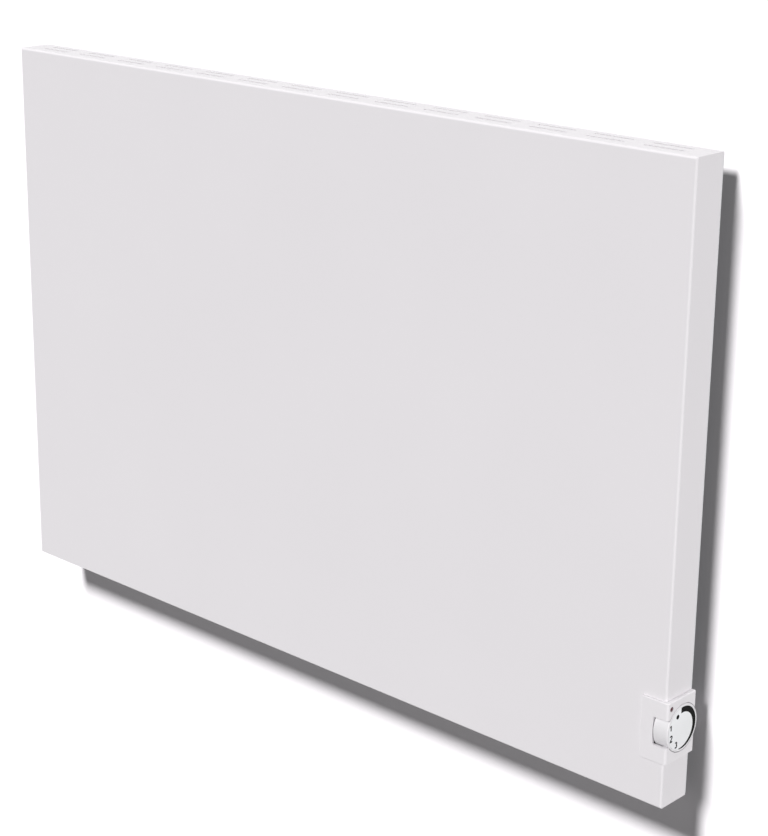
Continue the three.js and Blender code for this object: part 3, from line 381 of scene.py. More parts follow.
@dataclass(frozen=True)
class DrawnMetal:
    """Extruded, rolled or turned metal with fine lines along one direction."""

    color: Point
    roughness: float = 0.34
    stretch: Point = (6.0, 900.0, 900.0)

    def material(self, name: str) -> bpy.types.Material:
        """Makes the metal.

        Args:
            name: name of the material.

        Returns:
            The material.
        """
        graph = Graph.of_material(name)
        line = graph.noise(1.0, 3.0, graph.scaled_place(self.stretch))
        stain = graph.noise(55.0, 3.0)
        return graph.finish(
            Base_Color=graph.toned(self.color, stain, 0.9, 1.06),
            Metallic=0.95,
            Roughness=self.roughness - 0.07 + 0.14 * line,
            Normal=graph.bump(line, 0.01 * MM, 0.4),
        )


@dataclass(frozen=True)
class Ceramic:
    """Unglazed ceramic with a chalky grain and small specks."""

    color: Point = (0.86, 0.83, 0.74)

    def material(self, name: str) -> bpy.types.Material:
        """Makes the ceramic.

        Args:
            name: name of the material.

        Returns:
            The material.
        """
        graph = Graph.of_material(name)
        speck = graph.noise(900.0, 4.0).eased(0.62, 0.7)
        return graph.finish(
            Base_Color=graph.toned(self.color, speck * 0.4, 1.0, 0.7),
            Roughness=0.62 + 0.12 * graph.noise(1500.0),
            Normal=graph.bump(graph.noise(1800.0, 3.0), 0.03 * MM, 0.5),
        )


@dataclass(frozen=True)
class BoardLaminate:
    """Lacquered circuit laminate: copper tracks show through as paler lines."""

    color: Point = (0.035, 0.16, 0.07)
    track_pitch: float = 2.54 * MM
    track_gap: float = 1.7 * MM
    block_pitch: float = 17.0 * MM
    block_gap: float = 3.5 * MM

    def material(self, name: str) -> bpy.types.Material:
        """Makes the laminate.

        Args:
            name: name of the material.

        Returns:
            The material.
        """
        graph = Graph.of_material(name)
        _, across, level = graph.split_place()
        bend = 1.2 * MM * graph.noise(120.0, 0.0)
        rails = (across + bend).wrapped(0.0, self.track_pitch).above(self.track_gap)
        gaps = (level + bend).wrapped(0.0, self.block_pitch).above(self.block_gap)
        return graph.finish(
            Base_Color=graph.toned(self.color, rails * gaps, 1.0, 2.4),
            Roughness=0.32 + 0.12 * graph.noise(500.0),
            Normal=graph.bump(rails * gaps, 0.03 * MM, 0.6),
            Coat_Weight=0.4,
        )


@dataclass(frozen=True)
class Lens:
    """Clear dark red plastic over an unlit lamp, with painted light in its middle and painted shade
    towards its rim, for the light that the clear dome lets through.
    """

    color: Point = (0.075, 0.002, 0.014)
    centre: Point = (452.2 * MM, LAMP_Y, LAMP_Z)
    radius: float = 2.2 * MM
    # where the painted shade towards the rim starts and ends, as shares of the radius
    painted_shade_from: float = 0.5
    painted_shade_to: float = 1.6

    def material(self, name: str) -> bpy.types.Material:
        """Makes the lens.

        Args:
            name: name of the material.

        Returns:
            The material.
        """
        graph = Graph.of_material(name)
        reach = graph.add("ShaderNodeVectorMath", {"operation": "DISTANCE"},
                          {0: graph.place(), 1: self.centre})
        # painted light and shade: the colour is lighter in the middle and darker towards the rim
        rim = Value(graph, reach.outputs["Value"]).eased(self.radius * self.painted_shade_from,
                                                         self.radius * self.painted_shade_to)
        return graph.finish(
            Base_Color=graph.toned(self.color, rim, 1.5, 0.55),
            Roughness=0.16 + 0.06 * graph.noise(900.0),
            Coat_Weight=0.3,
            Coat_Roughness=0.06,
        )


@dataclass(frozen=True)
class Sleeve:
    """Heat-resistant wire sleeve, plain or with a second colour wound round it."""

    color: Point
    stripe: Point | None = None
    stripe_pitch: float = 7.0 * MM
    stripe_gap: float = 4.6 * MM

    def material(self, name: str) -> bpy.types.Material:
        """Makes the sleeve.

        Args:
            name: name of the material.

        Returns:
            The material.
        """
        graph = Graph.of_material(name)
        weave = graph.noise(2400.0)
        base = graph.toned(self.color, graph.noise(140.0), 0.9, 1.1)
        if self.stripe:
            x, y, z = graph.split_place()
            band = (x + y * 1.6 + z).wrapped(0.0, self.stripe_pitch).above(self.stripe_gap)
            base = graph.mixed(band, base, self.stripe)
        return graph.finish(
            Base_Color=base,
            Roughness=0.5 + 0.1 * weave,
            Normal=graph.bump(weave, 0.02 * MM, 0.5),
        )


@dataclass(frozen=True)
class Ink:
    """Pad-printed black ink, a little patchy where it is thin."""

    color: Point = (0.002, 0.002, 0.002)

    def material(self, name: str) -> bpy.types.Material:
        """Makes the ink.

        Args:
            name: name of the material.

        Returns:
            The material.
        """
        graph = Graph.of_material(name)
        patch = graph.noise(1200.0, 3.0).eased(0.55, 0.8)
        return graph.finish(
            Base_Color=graph.toned(self.color, patch * 0.5, 1.0, 2.5),
            Roughness=0.55 + 0.1 * graph.noise(900.0),
            Normal=graph.bump(patch, 0.004 * MM, 0.3),
            Specular_IOR_Level=0.08,
        )


FINISHES = {
    "casing_paint": PowderCoat(),
    "galvanised_sheet": ZincSheet(),
    "aluminium": DrawnMetal((0.72, 0.73, 0.74)),
    "steel": DrawnMetal((0.5, 0.51, 0.53), 0.3, (900.0, 60.0, 900.0)),
    "brass": DrawnMetal((0.7, 0.52, 0.2), 0.28, (60.0, 900.0, 900.0)),
    "ceramic": Ceramic(),
    "white_plastic": Moulding((0.77, 0.747, 0.77)),
    "grey_plastic": Moulding((0.2, 0.21, 0.225), 0.5),
    "black_plastic": Moulding((0.018, 0.018, 0.02), 0.45),
    "board_laminate": BoardLaminate(),
    "red_lens": Lens(),
    "brown_wire": Sleeve((0.15, 0.06, 0.025)),
    "blue_wire": Sleeve((0.035, 0.09, 0.32)),
    "green_wire": Sleeve((0.09, 0.28, 0.035), (0.7, 0.6, 0.04)),
    "ink": Ink(),
    "foil": Moulding((0.83, 0.835, 0.85), 0.35),
    # the wheel's white plastic painted a shade darker: painted shade for the wheel sunk in the
    # collar's window
    "wheel": Moulding((0.735, 0.72, 0.74)),
}


class Palette:
    """Makes each finish once and puts it on pieces."""

    def __init__(self) -> None:
        """Starts with no finish made."""
        self.made: dict[str, bpy.types.Material] = {}

    def material(self, name: str) -> bpy.types.Material:
        """Gives a finish by name, and makes it the first time.

        Args:
            name: name of the finish.

        Returns:
            Its material.
        """
        if name not in self.made:
            self.made[name] = FINISHES[name].material(name)
        return self.made[name]

    def dress(self, piece: Piece, name: str) -> None:
        """Gives a whole piece one finish."""
        piece.data.materials.clear()
        piece.data.materials.append(self.material(name))


# ---------------------------------------------------------------- modelling


class Axis(Enum):
    """A main direction of the frame."""

    X = 0
    Y = 1
    Z = 2

    def vector(self, length: float = 1.0) -> Vector:
        """A vector along the axis.

        Args:
            length: its length, below 0 for the other way.

        Returns:
            The vector.
        """
        made = Vector((0.0, 0.0, 0.0))
        made[self.value] = length
        return made

    def turn(self) -> Point:
        """The rotation that lays a primitive's own Z along this axis."""
        quarter = math.pi / 2
        return ((0.0, quarter, 0.0), (-quarter, 0.0, 0.0), (0.0, 0.0, 0.0))[self.value]


class Blend(Enum):
    """What a tool body does to a piece."""

    CUT = "DIFFERENCE"
    JOIN = "UNION"


def deselect_all() -> None:
    """Deselects every object, before a new one is added."""
    bpy.ops.object.select_all(action="DESELECT")


def take(piece: Piece) -> None:
    """Makes one piece the only selected one, and the active one.

    Args:
        piece: the piece to work on.
    """
    deselect_all()
    piece.select_set(True)
    bpy.context.view_layer.objects.active = piece


def settle(name: str) -> Piece:
    """Names the new piece and moves its place and turn into its mesh.

    Args:
        name: name of the piece and of its mesh.

    Returns:
        The piece.
    """
    piece = bpy.context.object
    piece.name = name
    piece.data.name = name
    take(piece)
    bpy.ops.object.transform_apply(location=True, rotation=True, scale=True)
    return piece


def block(name: str, low: Point, high: Point) -> Piece:
    """Adds a block.

    Args:
        name: name of the piece.
        low: its corner with the smallest coordinates.
        high: its opposite corner.

    Returns:
        The block.
    """
    low, high = Vector(low), Vector(high)
    deselect_all()
    bpy.ops.mesh.primitive_cube_add(size=1.0, location=(low + high) / 2, scale=high - low)
    return settle(name)


def disc(name: str, axis: Axis, centre: Point, radius: float, sides: int) -> Piece:
    """Adds a flat round disc.

    Args:
        name: name of the piece.
        axis: direction that it faces.
        centre: its middle.
        radius: its radius.
        sides: facets round it.

    Returns:
        The disc.
    """
    deselect_all()
    bpy.ops.mesh.primitive_circle_add(vertices=sides, radius=radius, fill_type="NGON",
                                      location=centre, rotation=axis.turn())
    return settle(name)


def strip_of(name: str, steps: int) -> Piece:
    """Adds a flat strip from -1 to 1 along X and along Y, to be laid elsewhere.

    Args:
        name: name of the strip.
        steps: how many faces it has along X.

    Returns:
        The strip.
    """
    deselect_all()
    bpy.ops.mesh.primitive_grid_add(x_subdivisions=steps, y_subdivisions=1, size=2.0)
    return settle(name)


@contextmanager
def editing(piece: Piece, mode: str = "FACE") -> Iterator[None]:
    """Edit mode on one piece, with nothing selected at first.

    Args:
        piece: the piece to edit.
        mode: what is selected, FACE, EDGE or VERT.

    Yields:
        Nothing; edit mode ends with the block.
    """
    take(piece)
    bpy.ops.object.mode_set(mode="EDIT")
    bpy.ops.mesh.select_mode(type=mode)
    bpy.ops.mesh.select_all(action="DESELECT")
    yield
    bpy.ops.object.mode_set(mode="OBJECT")


def pick(piece: Piece, kind: str, passes: Callable[[object], bool]) -> None:
    """Selects the parts of the edited mesh that pass a test, and no others.

    Args:
        piece: the piece that is being edited.
        kind: which parts are looked at, faces, edges or verts.
        passes: the test of one part.
    """
    bpy.ops.mesh.select_all(action="DESELECT")
    mesh = bmesh.from_edit_mesh(piece.data)
    for part in getattr(mesh, kind):
        if passes(part):
            part.select_set(True)
    mesh.select_flush_mode()
    bmesh.update_edit_mesh(piece.data)


def pick_faces(piece: Piece, test: Callable[[Vector, Vector], bool]) -> None:
    """Selects the faces whose middle and normal pass a test, and no others."""
    pick(piece, "faces", lambda face: test(face.calc_center_median(), face.normal))


def pick_edges(piece: Piece, test: Callable[[Vector, Vector], bool]) -> None:
    """Selects the edges whose two ends pass a test, and no others."""
    pick(piece, "edges", lambda edge: test(edge.verts[0].co, edge.verts[1].co))


def pick_points(piece: Piece, test: Callable[[Vector], bool]) -> None:
    """Selects the points that pass a test, and no others."""
    pick(piece, "verts", lambda point: test(point.co))


def pick_all() -> None:
    """Selects the whole mesh that is being edited."""
    bpy.ops.mesh.select_all(action="SELECT")


def face_outwards() -> None:
    """Turns every face of the edited mesh outwards."""
    pick_all()
    bpy.ops.mesh.normals_make_consistent(inside=False)


def extrude(step: Vector | Point) -> None:
    """Extrudes what is selected by a step."""
    bpy.ops.mesh.extrude_region_move(TRANSFORM_OT_translate={"value": step})


def bisect(at: Point, normal: Point, **ends: bool) -> None:
    """Cuts the whole edited mesh with a plane through a point."""
    pick_all()
    bpy.ops.mesh.bisect(plane_co=at, plane_no=normal, **ends)


def round_over(width: float, steps: int) -> None:
    """Rounds the selected edges."""
    bpy.ops.mesh.bevel(offset=width, segments=steps, profile=0.5, affect="EDGES",
                       clamp_overlap=True)


def turned(name: str, axis: Axis, centre: Point, stations: list[Pair], sides: int) -> Piece:
    """Builds a turned form: a disc that is extruded from station to station and scaled at each.

    Args:
        name: name of the piece.
        axis: direction of its axis.
        centre: a point on its axis; the coordinate along the axis is not used.
        stations: pairs of place along the axis and radius, in order.
        sides: facets round the form.

    Returns:
        The closed piece.
    """
    first, radius = stations[0]
    at = Vector(centre)
    at[axis.value] = first
    piece = disc(name, axis, at, radius, sides)
    with editing(piece):
        pick_all()
        for place, wanted in stations[1:]:
            extrude(axis.vector(place - at[axis.value]))
            at[axis.value] = place
            if wanted != radius:
                share = wanted / radius
                bpy.ops.transform.resize(value=(share, share, share), center_override=at)
            radius = wanted
        face_outwards()
    return piece


def drum(name: str, axis: Axis, centre: Point, radius: float, ends: Pair,
         sides: int = 32) -> Piece:
    """Builds a plain round body between two places along an axis."""
    return turned(name, axis, centre, [(ends[0], radius), (ends[1], radius)], sides)


def long_slot(name: str, axis: Axis, centre: Point, size: Pair, ends: Pair, along: Axis,
              sides: int = 24) -> Piece:
    """Builds a slot body with round ends: a drum whose two halves are moved apart.

    Args:
        name: name of the piece.
        axis: direction in which the slot goes through.
        centre: its middle.
        size: length and width over the round ends.
        ends: from where to where it goes along the axis.
        along: direction of its length.
        sides: facets of the two round ends together.

    Returns:
        The closed body.
    """
    length, width = size
    piece = drum(name, axis, centre, width / 2, ends, sides)
    reach = (length - width) / 2
    middle = centre[along.value]
    with editing(piece, "VERT"):
        for side in (-1.0, 1.0):
            pick_points(piece, lambda at: (at[along.value] - middle) * side > TINY)
            bpy.ops.transform.translate(value=along.vector(side * reach))
    return piece


def apply(piece: Piece, kind: str, **settings: object) -> None:
    """Adds a modifier to a piece, sets it and applies it.

    Args:
        piece: the piece.
        kind: type of the modifier.
        settings: its settings, by name.
    """
    take(piece)
    modifier = piece.modifiers.new(kind.lower(), kind)
    for name, setting in settings.items():
        setattr(modifier, name, setting)
    bpy.ops.object.modifier_apply(modifier=modifier.name)


def combine(piece: Piece, tool: Piece, how: Blend = Blend.CUT) -> None:
    """Cuts a piece with a tool body, or joins the two, and removes the tool."""
    apply(piece, "BOOLEAN", operation=how.value, object=tool, solver="EXACT")
    bpy.data.objects.remove(tool)


def repeat(piece: Piece, count: int, step: Vector) -> None:
    """Repeats a tool body in a row."""
    apply(piece, "ARRAY", count=count, use_relative_offset=False, use_constant_offset=True,
          constant_offset_displace=step)


def copy_of(piece: Piece, name: str, move: Vector) -> Piece:
    """Copies a piece, with a mesh of its own in which the move is made.

    Args:
        piece: the piece to copy.
        name: name of the copy.
        move: from the piece to its copy.

    Returns:
        The copy.
    """
    take(piece)
    bpy.ops.object.duplicate(linked=False)
    bpy.context.object.location = move
    return settle(name)


def clean(piece: Piece) -> None:
    """Merges doubled points and turns all faces outwards.

    Args:
        piece: the piece to clean.
    """
    with editing(piece, "VERT"):
        pick_all()
        bpy.ops.mesh.remove_doubles(threshold=0.002 * MM)
        bpy.ops.mesh.dissolve_degenerate(threshold=0.001 * MM)
        face_outwards()


def smooth(piece: Piece, degrees: float = 32.0, weighted: bool = True) -> None:
    """Shades a piece smooth up to an angle and keeps its flat faces flat.

    Args:
        piece: the piece to shade.
        degrees: edges sharper than this stay sharp.
        weighted: whether large faces pull the normals to their own.
    """
    take(piece)
    bpy.ops.object.shade_smooth_by_angle(angle=math.radians(degrees))
    if weighted:
        apply(piece, "WEIGHTED_NORMAL", mode="FACE_AREA", weight=100, keep_sharp=True)


def soften(piece: Piece, width: float, degrees: float = 40.0) -> None:
    """Breaks the edges of a piece that are sharper than an angle."""
    apply(piece, "BEVEL", width=width, segments=2, limit_method="ANGLE",
          angle_limit=math.radians(degrees), use_clamp_overlap=True, miter_outer="MITER_ARC")


def give_gauge(piece: Piece, gauge: float) -> None:
    """Gives an open shell of sheet its gauge, on its inner side."""
    apply(piece, "SOLIDIFY", thickness=gauge, offset=-1.0, use_even_offset=True)


@dataclass
class Place:
    """Where a finished piece belongs: its body, its material slot and the nodes it stands for."""

    body: str
    slot: str
    nodes: tuple[str, ...] = ()


def hand_over(piece: Piece, place: Place, palette: Palette, finish: str | None = None) -> Piece:
    """Dresses a finished piece and ties it to its body.

    Args:
        piece: the finished piece.
        place: its body, slot and replaced nodes.
        palette: where its finish comes from.
        finish: name of the finish, if it isn't the slot's.

    Returns:
        The same piece.
    """
    palette.dress(piece, finish or place.slot)
    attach(piece, place.body)
    if place.nodes:
        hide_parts(*place.nodes)
    LOG.info("%s: %d faces on %s", piece.name, len(piece.data.polygons), place.body)
    return piece


# ---------------------------------------------------------------- casing


@dataclass
class Casing:
    """The folded steel front with its slotted top and bottom."""

    palette: Palette
    half_width: float = 450.0 * MM
    half_height: float = 300.0 * MM
    front: float = -58.0 * MM
    back: float = -19.1 * MM
    gauge: float = 0.8 * MM
    fold: float = 2.4 * MM
    rear_fold: float = 0.8 * MM
    seam: float = 0.5 * MM
    lip: float = 12.0 * MM
    slot_size: Pair = (42.0 * MM, 3.4 * MM)
    slot_pitch: float = 62.5 * MM
    slot_columns: int = 14
    slot_rows: Pair = (-42.5 * MM, -29.5 * MM)
    slot_edge: float = 0.3 * MM
    punch_overrun: float = 5.0 * MM
    notch: Pair = (13.4 * MM, 55.0 * MM)
    screw_places: list[Pair] = field(default_factory=list)

    def build(self) -> None:
        """Folds the sheet, cuts its openings and hands it over."""
        shell = self._folded_sheet()
        self._cut_openings(shell)
        clean(shell)
        self._round_edges(shell)
        smooth(shell, 28.0)
        hand_over(shell, Place("heater", "casing_paint", ("front_casing",)), self.palette)

    def _folded_sheet(self) -> Piece:
        """Makes the tray: a block with folded edges, open at the back, given its gauge.

        Returns:
            The tray.
        """
        wide, high = self.half_width, self.half_height
        shell = block("casing_shell", (-wide, self.front, -high), (wide, self.back, high))
        with editing(shell):
            pick_faces(shell, lambda middle, normal: normal.y > FACING)
            bpy.ops.mesh.inset(thickness=self.lip, depth=0.0)
            bpy.ops.mesh.delete(type="FACE")
        with editing(shell, "EDGE"):
            pick_edges(shell, lambda a, b: max(a.y, b.y) < self.front + TINY)
            round_over(self.fold, 7)
        give_gauge(shell, self.gauge)
        return shell

    def _round_edges(self, shell: Piece) -> None:
        """Rounds the corner seams, the rear folds and the painted edges of the slots.

        Args:
            shell: the tray with its openings.
        """
        with editing(shell, "EDGE"):
            for on_line, width, steps in ((self._on_seam, self.seam, 3),
                                          (self._on_rear_fold, self.rear_fold, 3),
                                          (self._on_slot, self.slot_edge, 2)):
                pick_edges(shell, lambda a, b: on_line(a) and on_line(b))
                round_over(width, steps)

    def _on_slot(self, at: Vector) -> bool:
        """Whether a point lies in the outer surface where the air slots are.

        Args:
            at: the point.

        Returns:
            True for such a point.
        """
        reach = self.slot_size[1] / 2 + TINY
        near, far = self.slot_rows
        return abs(abs(at.z) - self.half_height) < TINY and near - reach < at.y < far + reach

    def _on_seam(self, at: Vector) -> bool:
        """Whether a point lies on one of the four corner seams."""
        apart = (self.half_width - abs(at.x)) - (self.half_height - abs(at.z))
        return abs(apart) < TINY and self.half_width - abs(at.x) < self.fold - TINY

    def _on_rear_fold(self, at: Vector) -> bool:
        """Whether a point lies on the outline of the casing's back."""
        outside = max(abs(at.x) - self.half_width, abs(at.z) - self.half_height)
        return at.y > self.back - TINY and outside > -TINY

    def _cut_openings(self, shell: Piece) -> None:
        """Cuts the air slots, the notch for the thermostat and the screw holes in the rear lips.

        Args:
            shell: the tray.
        """
        start = -(self.slot_columns - 1) / 2 * self.slot_pitch
        reach = self.half_height + self.punch_overrun
        punch = long_slot("slot_punch", Axis.Z, (start, self.slot_rows[0], 0.0), self.slot_size,
                          (-reach, reach), Axis.X)
        repeat(punch, self.slot_columns, Vector((self.slot_pitch, 0.0, 0.0)))
        repeat(punch, 2, Vector((0.0, self.slot_rows[1] - self.slot_rows[0], 0.0)))
        combine(shell, punch)
        width, half = self.notch[0], self.notch[1] / 2
        combine(shell, block("notch_tool",
                             (self.half_width - width, self.front - CLEAR, DIAL_Z - half),
                             (self.half_width + CLEAR, self.back + CLEAR, DIAL_Z + half)))
        ends = (self.back - self.gauge - CLEAR, self.back + CLEAR)
        for x, z in self.screw_places:
            combine(shell, drum("hole_tool", Axis.Y, (x, 0.0, z), SCREW_HOLE, ends, 16))


# ---------------------------------------------------------------- rear panel and its screws


@dataclass
class RearPanel:
    """The plain sheet that closes the casing's back, with its hook slots and two pressed swages."""

    palette: Palette
    half_width: float = 449.4 * MM
    half_height: float = 299.4 * MM
    inner: float = -18.8 * MM
    outer: float = -18.0 * MM
    corner: float = 1.2 * MM
    swage_size: Pair = (240.0 * MM, 14.0 * MM)
    swage_level: float = 215.0 * MM
    swage_rise: float = 2.0 * MM
    swage_fold: float = 0.9 * MM
    hook_x: tuple[float, ...] = (-219.25 * MM, -180.75 * MM, 180.75 * MM, 219.25 * MM)
    hook_z: Pair = (-130.0 * MM, 130.0 * MM)
    hook_slot: Pair = (3.9 * MM, 22.0 * MM)
    play: float = 0.3 * MM
    holes: list[Point] = field(default_factory=list)
    well: Pair = (436.6 * MM, 15.6 * MM)

    def build(self) -> None:
        """Makes the panel and hands it over."""
        sheet = block("rear_sheet", (-self.half_width, self.inner, -self.half_height),
                      (self.half_width, self.outer, self.half_height))
        with editing(sheet, "EDGE"):
            pick_edges(sheet, lambda a, b: abs(a.x - b.x) < TINY and abs(a.z - b.z) < TINY)
            round_over(self.corner, 4)
        self._press_swages(sheet)
        self._cut_openings(sheet)
        clean(sheet)
        smooth(sheet)
        hand_over(sheet, Place("heater", "galvanised_sheet", ("rear_panel",)), self.palette)

    def _press_swages(self, sheet: Piece) -> None:
        """Raises the two swages from the sheet, hollow from the room side.

        Args:
            sheet: the panel.
        """
        gauge = self.outer - self.inner
        for level in (-self.swage_level, self.swage_level):
            for start, inset, how in ((self.inner + gauge / 2, 0.0, Blend.JOIN),
                                      (self.inner - gauge, gauge, Blend.CUT)):
                size = tuple(side - 2 * inset for side in self.swage_size)
                top = self.outer + self.swage_rise - inset
                body = long_slot("swage", Axis.Y, (0.0, 0.0, level), size, (start, top), Axis.X, 32)
                with editing(body, "EDGE"):
                    pick_edges(body, lambda a, b: min(a.y, b.y) > top - TINY)
                    round_over(self.swage_fold, 4)
                combine(sheet, body, how)

    def _cut_openings(self, sheet: Piece) -> None:
        """Cuts the hook slots, the round holes and the notch for the wheel.

        Args:
            sheet: the panel.
        """
        near, far = self.inner - CLEAR, self.outer + CLEAR
        half, height = self.hook_slot[0] / 2, self.hook_slot[1]
        for x in self.hook_x:
            for z in self.hook_z:
                top = z + self.play
                combine(sheet, block("hook_tool", (x - half, near, top - height),
                                     (x + half, far, top)))
        for x, z, radius in self.holes:
            combine(sheet, drum("hole_tool", Axis.Y, (x, 0.0, z), radius, (near, far), 24))
        x, chord = self.well
        combine(sheet, block("well_tool", (x, near, DIAL_Z - chord),
                             (self.half_width + CLEAR, far, DIAL_Z + chord)))


@dataclass
class PanScrew:
    """A small pan head screw with a cross recess, copied to each of its places."""

    palette: Palette
    places: dict[str, Pair]
    seat: float = -17.7 * MM
    shank: float = 1.6 * MM
    length: float = 8.0 * MM
    point: float = 1.6 * MM
    point_share: float = 0.25
    head: float = 3.4 * MM
    head_height: float = 1.8 * MM
    dome: tuple[Pair, ...] = ((0.45, 1.0), (0.72, 0.93), (0.9, 0.78), (1.0, 0.52))
    recess: Pair = (3.2 * MM, 0.75 * MM)
    recess_depth: float = 1.1 * MM
    recess_taper: float = 0.55

    def build(self) -> None:
        """Makes one screw on the frame's own Y axis and copies it to every place."""
        top = self.seat + self.head_height
        tip = self.seat - self.length
        dome = [(self.seat + self.head_height * rise, self.head * share)
                for rise, share in self.dome]
        model = turned("screw_model", Axis.Y, (0.0, 0.0, 0.0), [
            (tip, self.point_share * self.shank), (tip + self.point, self.shank),
            (self.seat, self.shank), (self.seat, self.head), *dome], 24)
        for x, z in (self.recess, reversed(self.recess)):
            slot = block("recess_tool", (-x / 2, top - self.recess_depth, -z / 2),
                         (x / 2, top + CLEAR, z / 2))
            with editing(slot):
                pick_faces(slot, lambda middle, normal: normal.y < -FACING)
                bpy.ops.transform.resize(value=(self.recess_taper, 1.0, self.recess_taper))
            combine(model, slot)
        clean(model)
        smooth(model, 35.0, weighted=False)
        for name, (x, z) in self.places.items():
            screw = copy_of(model, f"{name}_pan_head", Vector((x, 0.0, z)))
            hand_over(screw, Place("heater", "steel", (name,)), self.palette)
        bpy.data.objects.remove(model)


# ---------------------------------------------------------------- wall bracket


@dataclass
class WallBracket:
    """Two hooked uprights and the cross bar between them, folded from zinc-coated sheet."""

    palette: Palette
    centres: Pair = (-200.0 * MM, 200.0 * MM)
    half_width: float = 20.0 * MM
    half_height: float = 160.0 * MM
    gauge: float = 1.5 * MM
    flange_front: float = -17.55 * MM
    fold: float = 2.2 * MM
    edge: float = 0.18 * MM
    hook_levels: Pair = (-130.0 * MM, 130.0 * MM)
    hook_root: float = 2.0 * MM
    neck: float = 8.0 * MM
    tip_rise: float = 10.0 * MM
    tip_back: float = -19.7 * MM
    tip_front: float = -22.7 * MM
    tip_round: float = 1.2 * MM
    screw_slot: Pair = (12.0 * MM, 5.5 * MM)
    screw_level: float = 142.0 * MM
    bar_half: float = 179.7 * MM
    bar_height: float = 25.0 * MM
    bar_tab: float = -13.5 * MM
    bar_screw: float = 60.0 * MM

    def build(self) -> None:
        """Makes the uprights and the bar."""
        for side, centre in zip(("left", "right"), self.centres):
            self._upright(f"upright_{side}", centre, f"bracket_upright_{side}")
        self._bar()

    def _channel(self, name: str, low: Point, high: Point) -> Piece:
        """Folds a channel that is open to the room and at its two ends.

        Args:
            name: name of the piece.
            low: lower left front corner of its outside.
            high: upper right back corner of its outside.

        Returns:
            The channel, with rounded folds and the sheet's gauge.
        """
        piece = block(name, low, high)
        with editing(piece):
            pick_faces(piece, lambda middle, normal: normal.y < -FACING or abs(normal.z) > FACING)
            bpy.ops.mesh.delete(type="FACE")
        with editing(piece, "EDGE"):
            pick_edges(piece, lambda a, b: min(a.y, b.y) > -TINY and abs(a.x - b.x) < TINY)
            round_over(self.fold, 5)
        give_gauge(piece, self.gauge)
        return piece

    def _complete(self, piece: Piece, slots: Iterable[tuple[Point, Axis]], node: str) -> None:
        """Cuts a channel's screw slots, breaks its edges and hands it over.

        Args:
            piece: the channel.
            slots: middle and direction of each screw slot.
            node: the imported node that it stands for.
        """
        ends = (-self.gauge - CLEAR, CLEAR)
        for middle, along in slots:
            combine(piece, long_slot("slot_tool", Axis.Y, middle, self.screw_slot, ends, along))
        clean(piece)
        soften(piece, self.edge)
        smooth(piece)
        hand_over(piece, Place("wall_bracket", "galvanised_sheet", (node,)), self.palette)

    def _upright(self, name: str, centre: float, node: str) -> None:
        """Makes one upright with its four hooks and two screw slots.

        Args:
            name: name of the piece.
            centre: its middle along X.
            node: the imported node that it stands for.
        """
        wide, high = self.half_width, self.half_height
        piece = self._channel(name, (centre - wide, self.flange_front, -high),
                              (centre + wide, 0.0, high))
        for side in (-1.0, 1.0):
            inner, outer = sorted((centre + side * wide, centre + side * (wide - self.gauge)))
            for level in self.hook_levels:
                combine(piece, self._hook(inner, outer, level), Blend.JOIN)
        self._complete(piece, (((centre, 0.0, self.screw_level), Axis.X),
                               ((centre, 0.0, -self.screw_level), Axis.Z)), node)

    def _hook(self, inner: float, outer: float, level: float) -> Piece:
        """Makes one hook: a neck that reaches forward and a tip drawn up from it.

        Args:
            inner: its side with the smaller X.
            outer: its other side.
            level: top of its neck.

        Returns:
            The hook.
        """
        hook = block("hook", (inner, self.tip_front, level - self.neck),
                     (outer, self.flange_front + self.hook_root, level))
        with editing(hook):
            bisect((0.0, self.tip_back, 0.0), (0.0, 1.0, 0.0))
            pick_faces(hook, lambda middle, normal: normal.z > FACING and middle.y < self.tip_back)
            extrude((0.0, 0.0, self.tip_rise))
        with editing(hook, "EDGE"):
            pick_edges(hook, lambda a, b: abs(a.y - b.y) < TINY and abs(a.z - b.z) < TINY
                       and a.y < self.tip_back + TINY and abs(a.z - level) > TINY)
            round_over(self.tip_round, 4)
        return hook

    def _bar(self) -> None:
        """Makes the cross bar, with a tab folded forward at each end."""
        wide, high = self.bar_half, self.bar_height
        piece = self._channel("cross_bar", (-wide, self.bar_tab, -high), (wide, 0.0, high))
        self._complete(piece, (((x, 0.0, 0.0), Axis.X) for x in (-self.bar_screw, self.bar_screw)),
                       "bracket_cross_bar")


# ---------------------------------------------------------------- thermostat


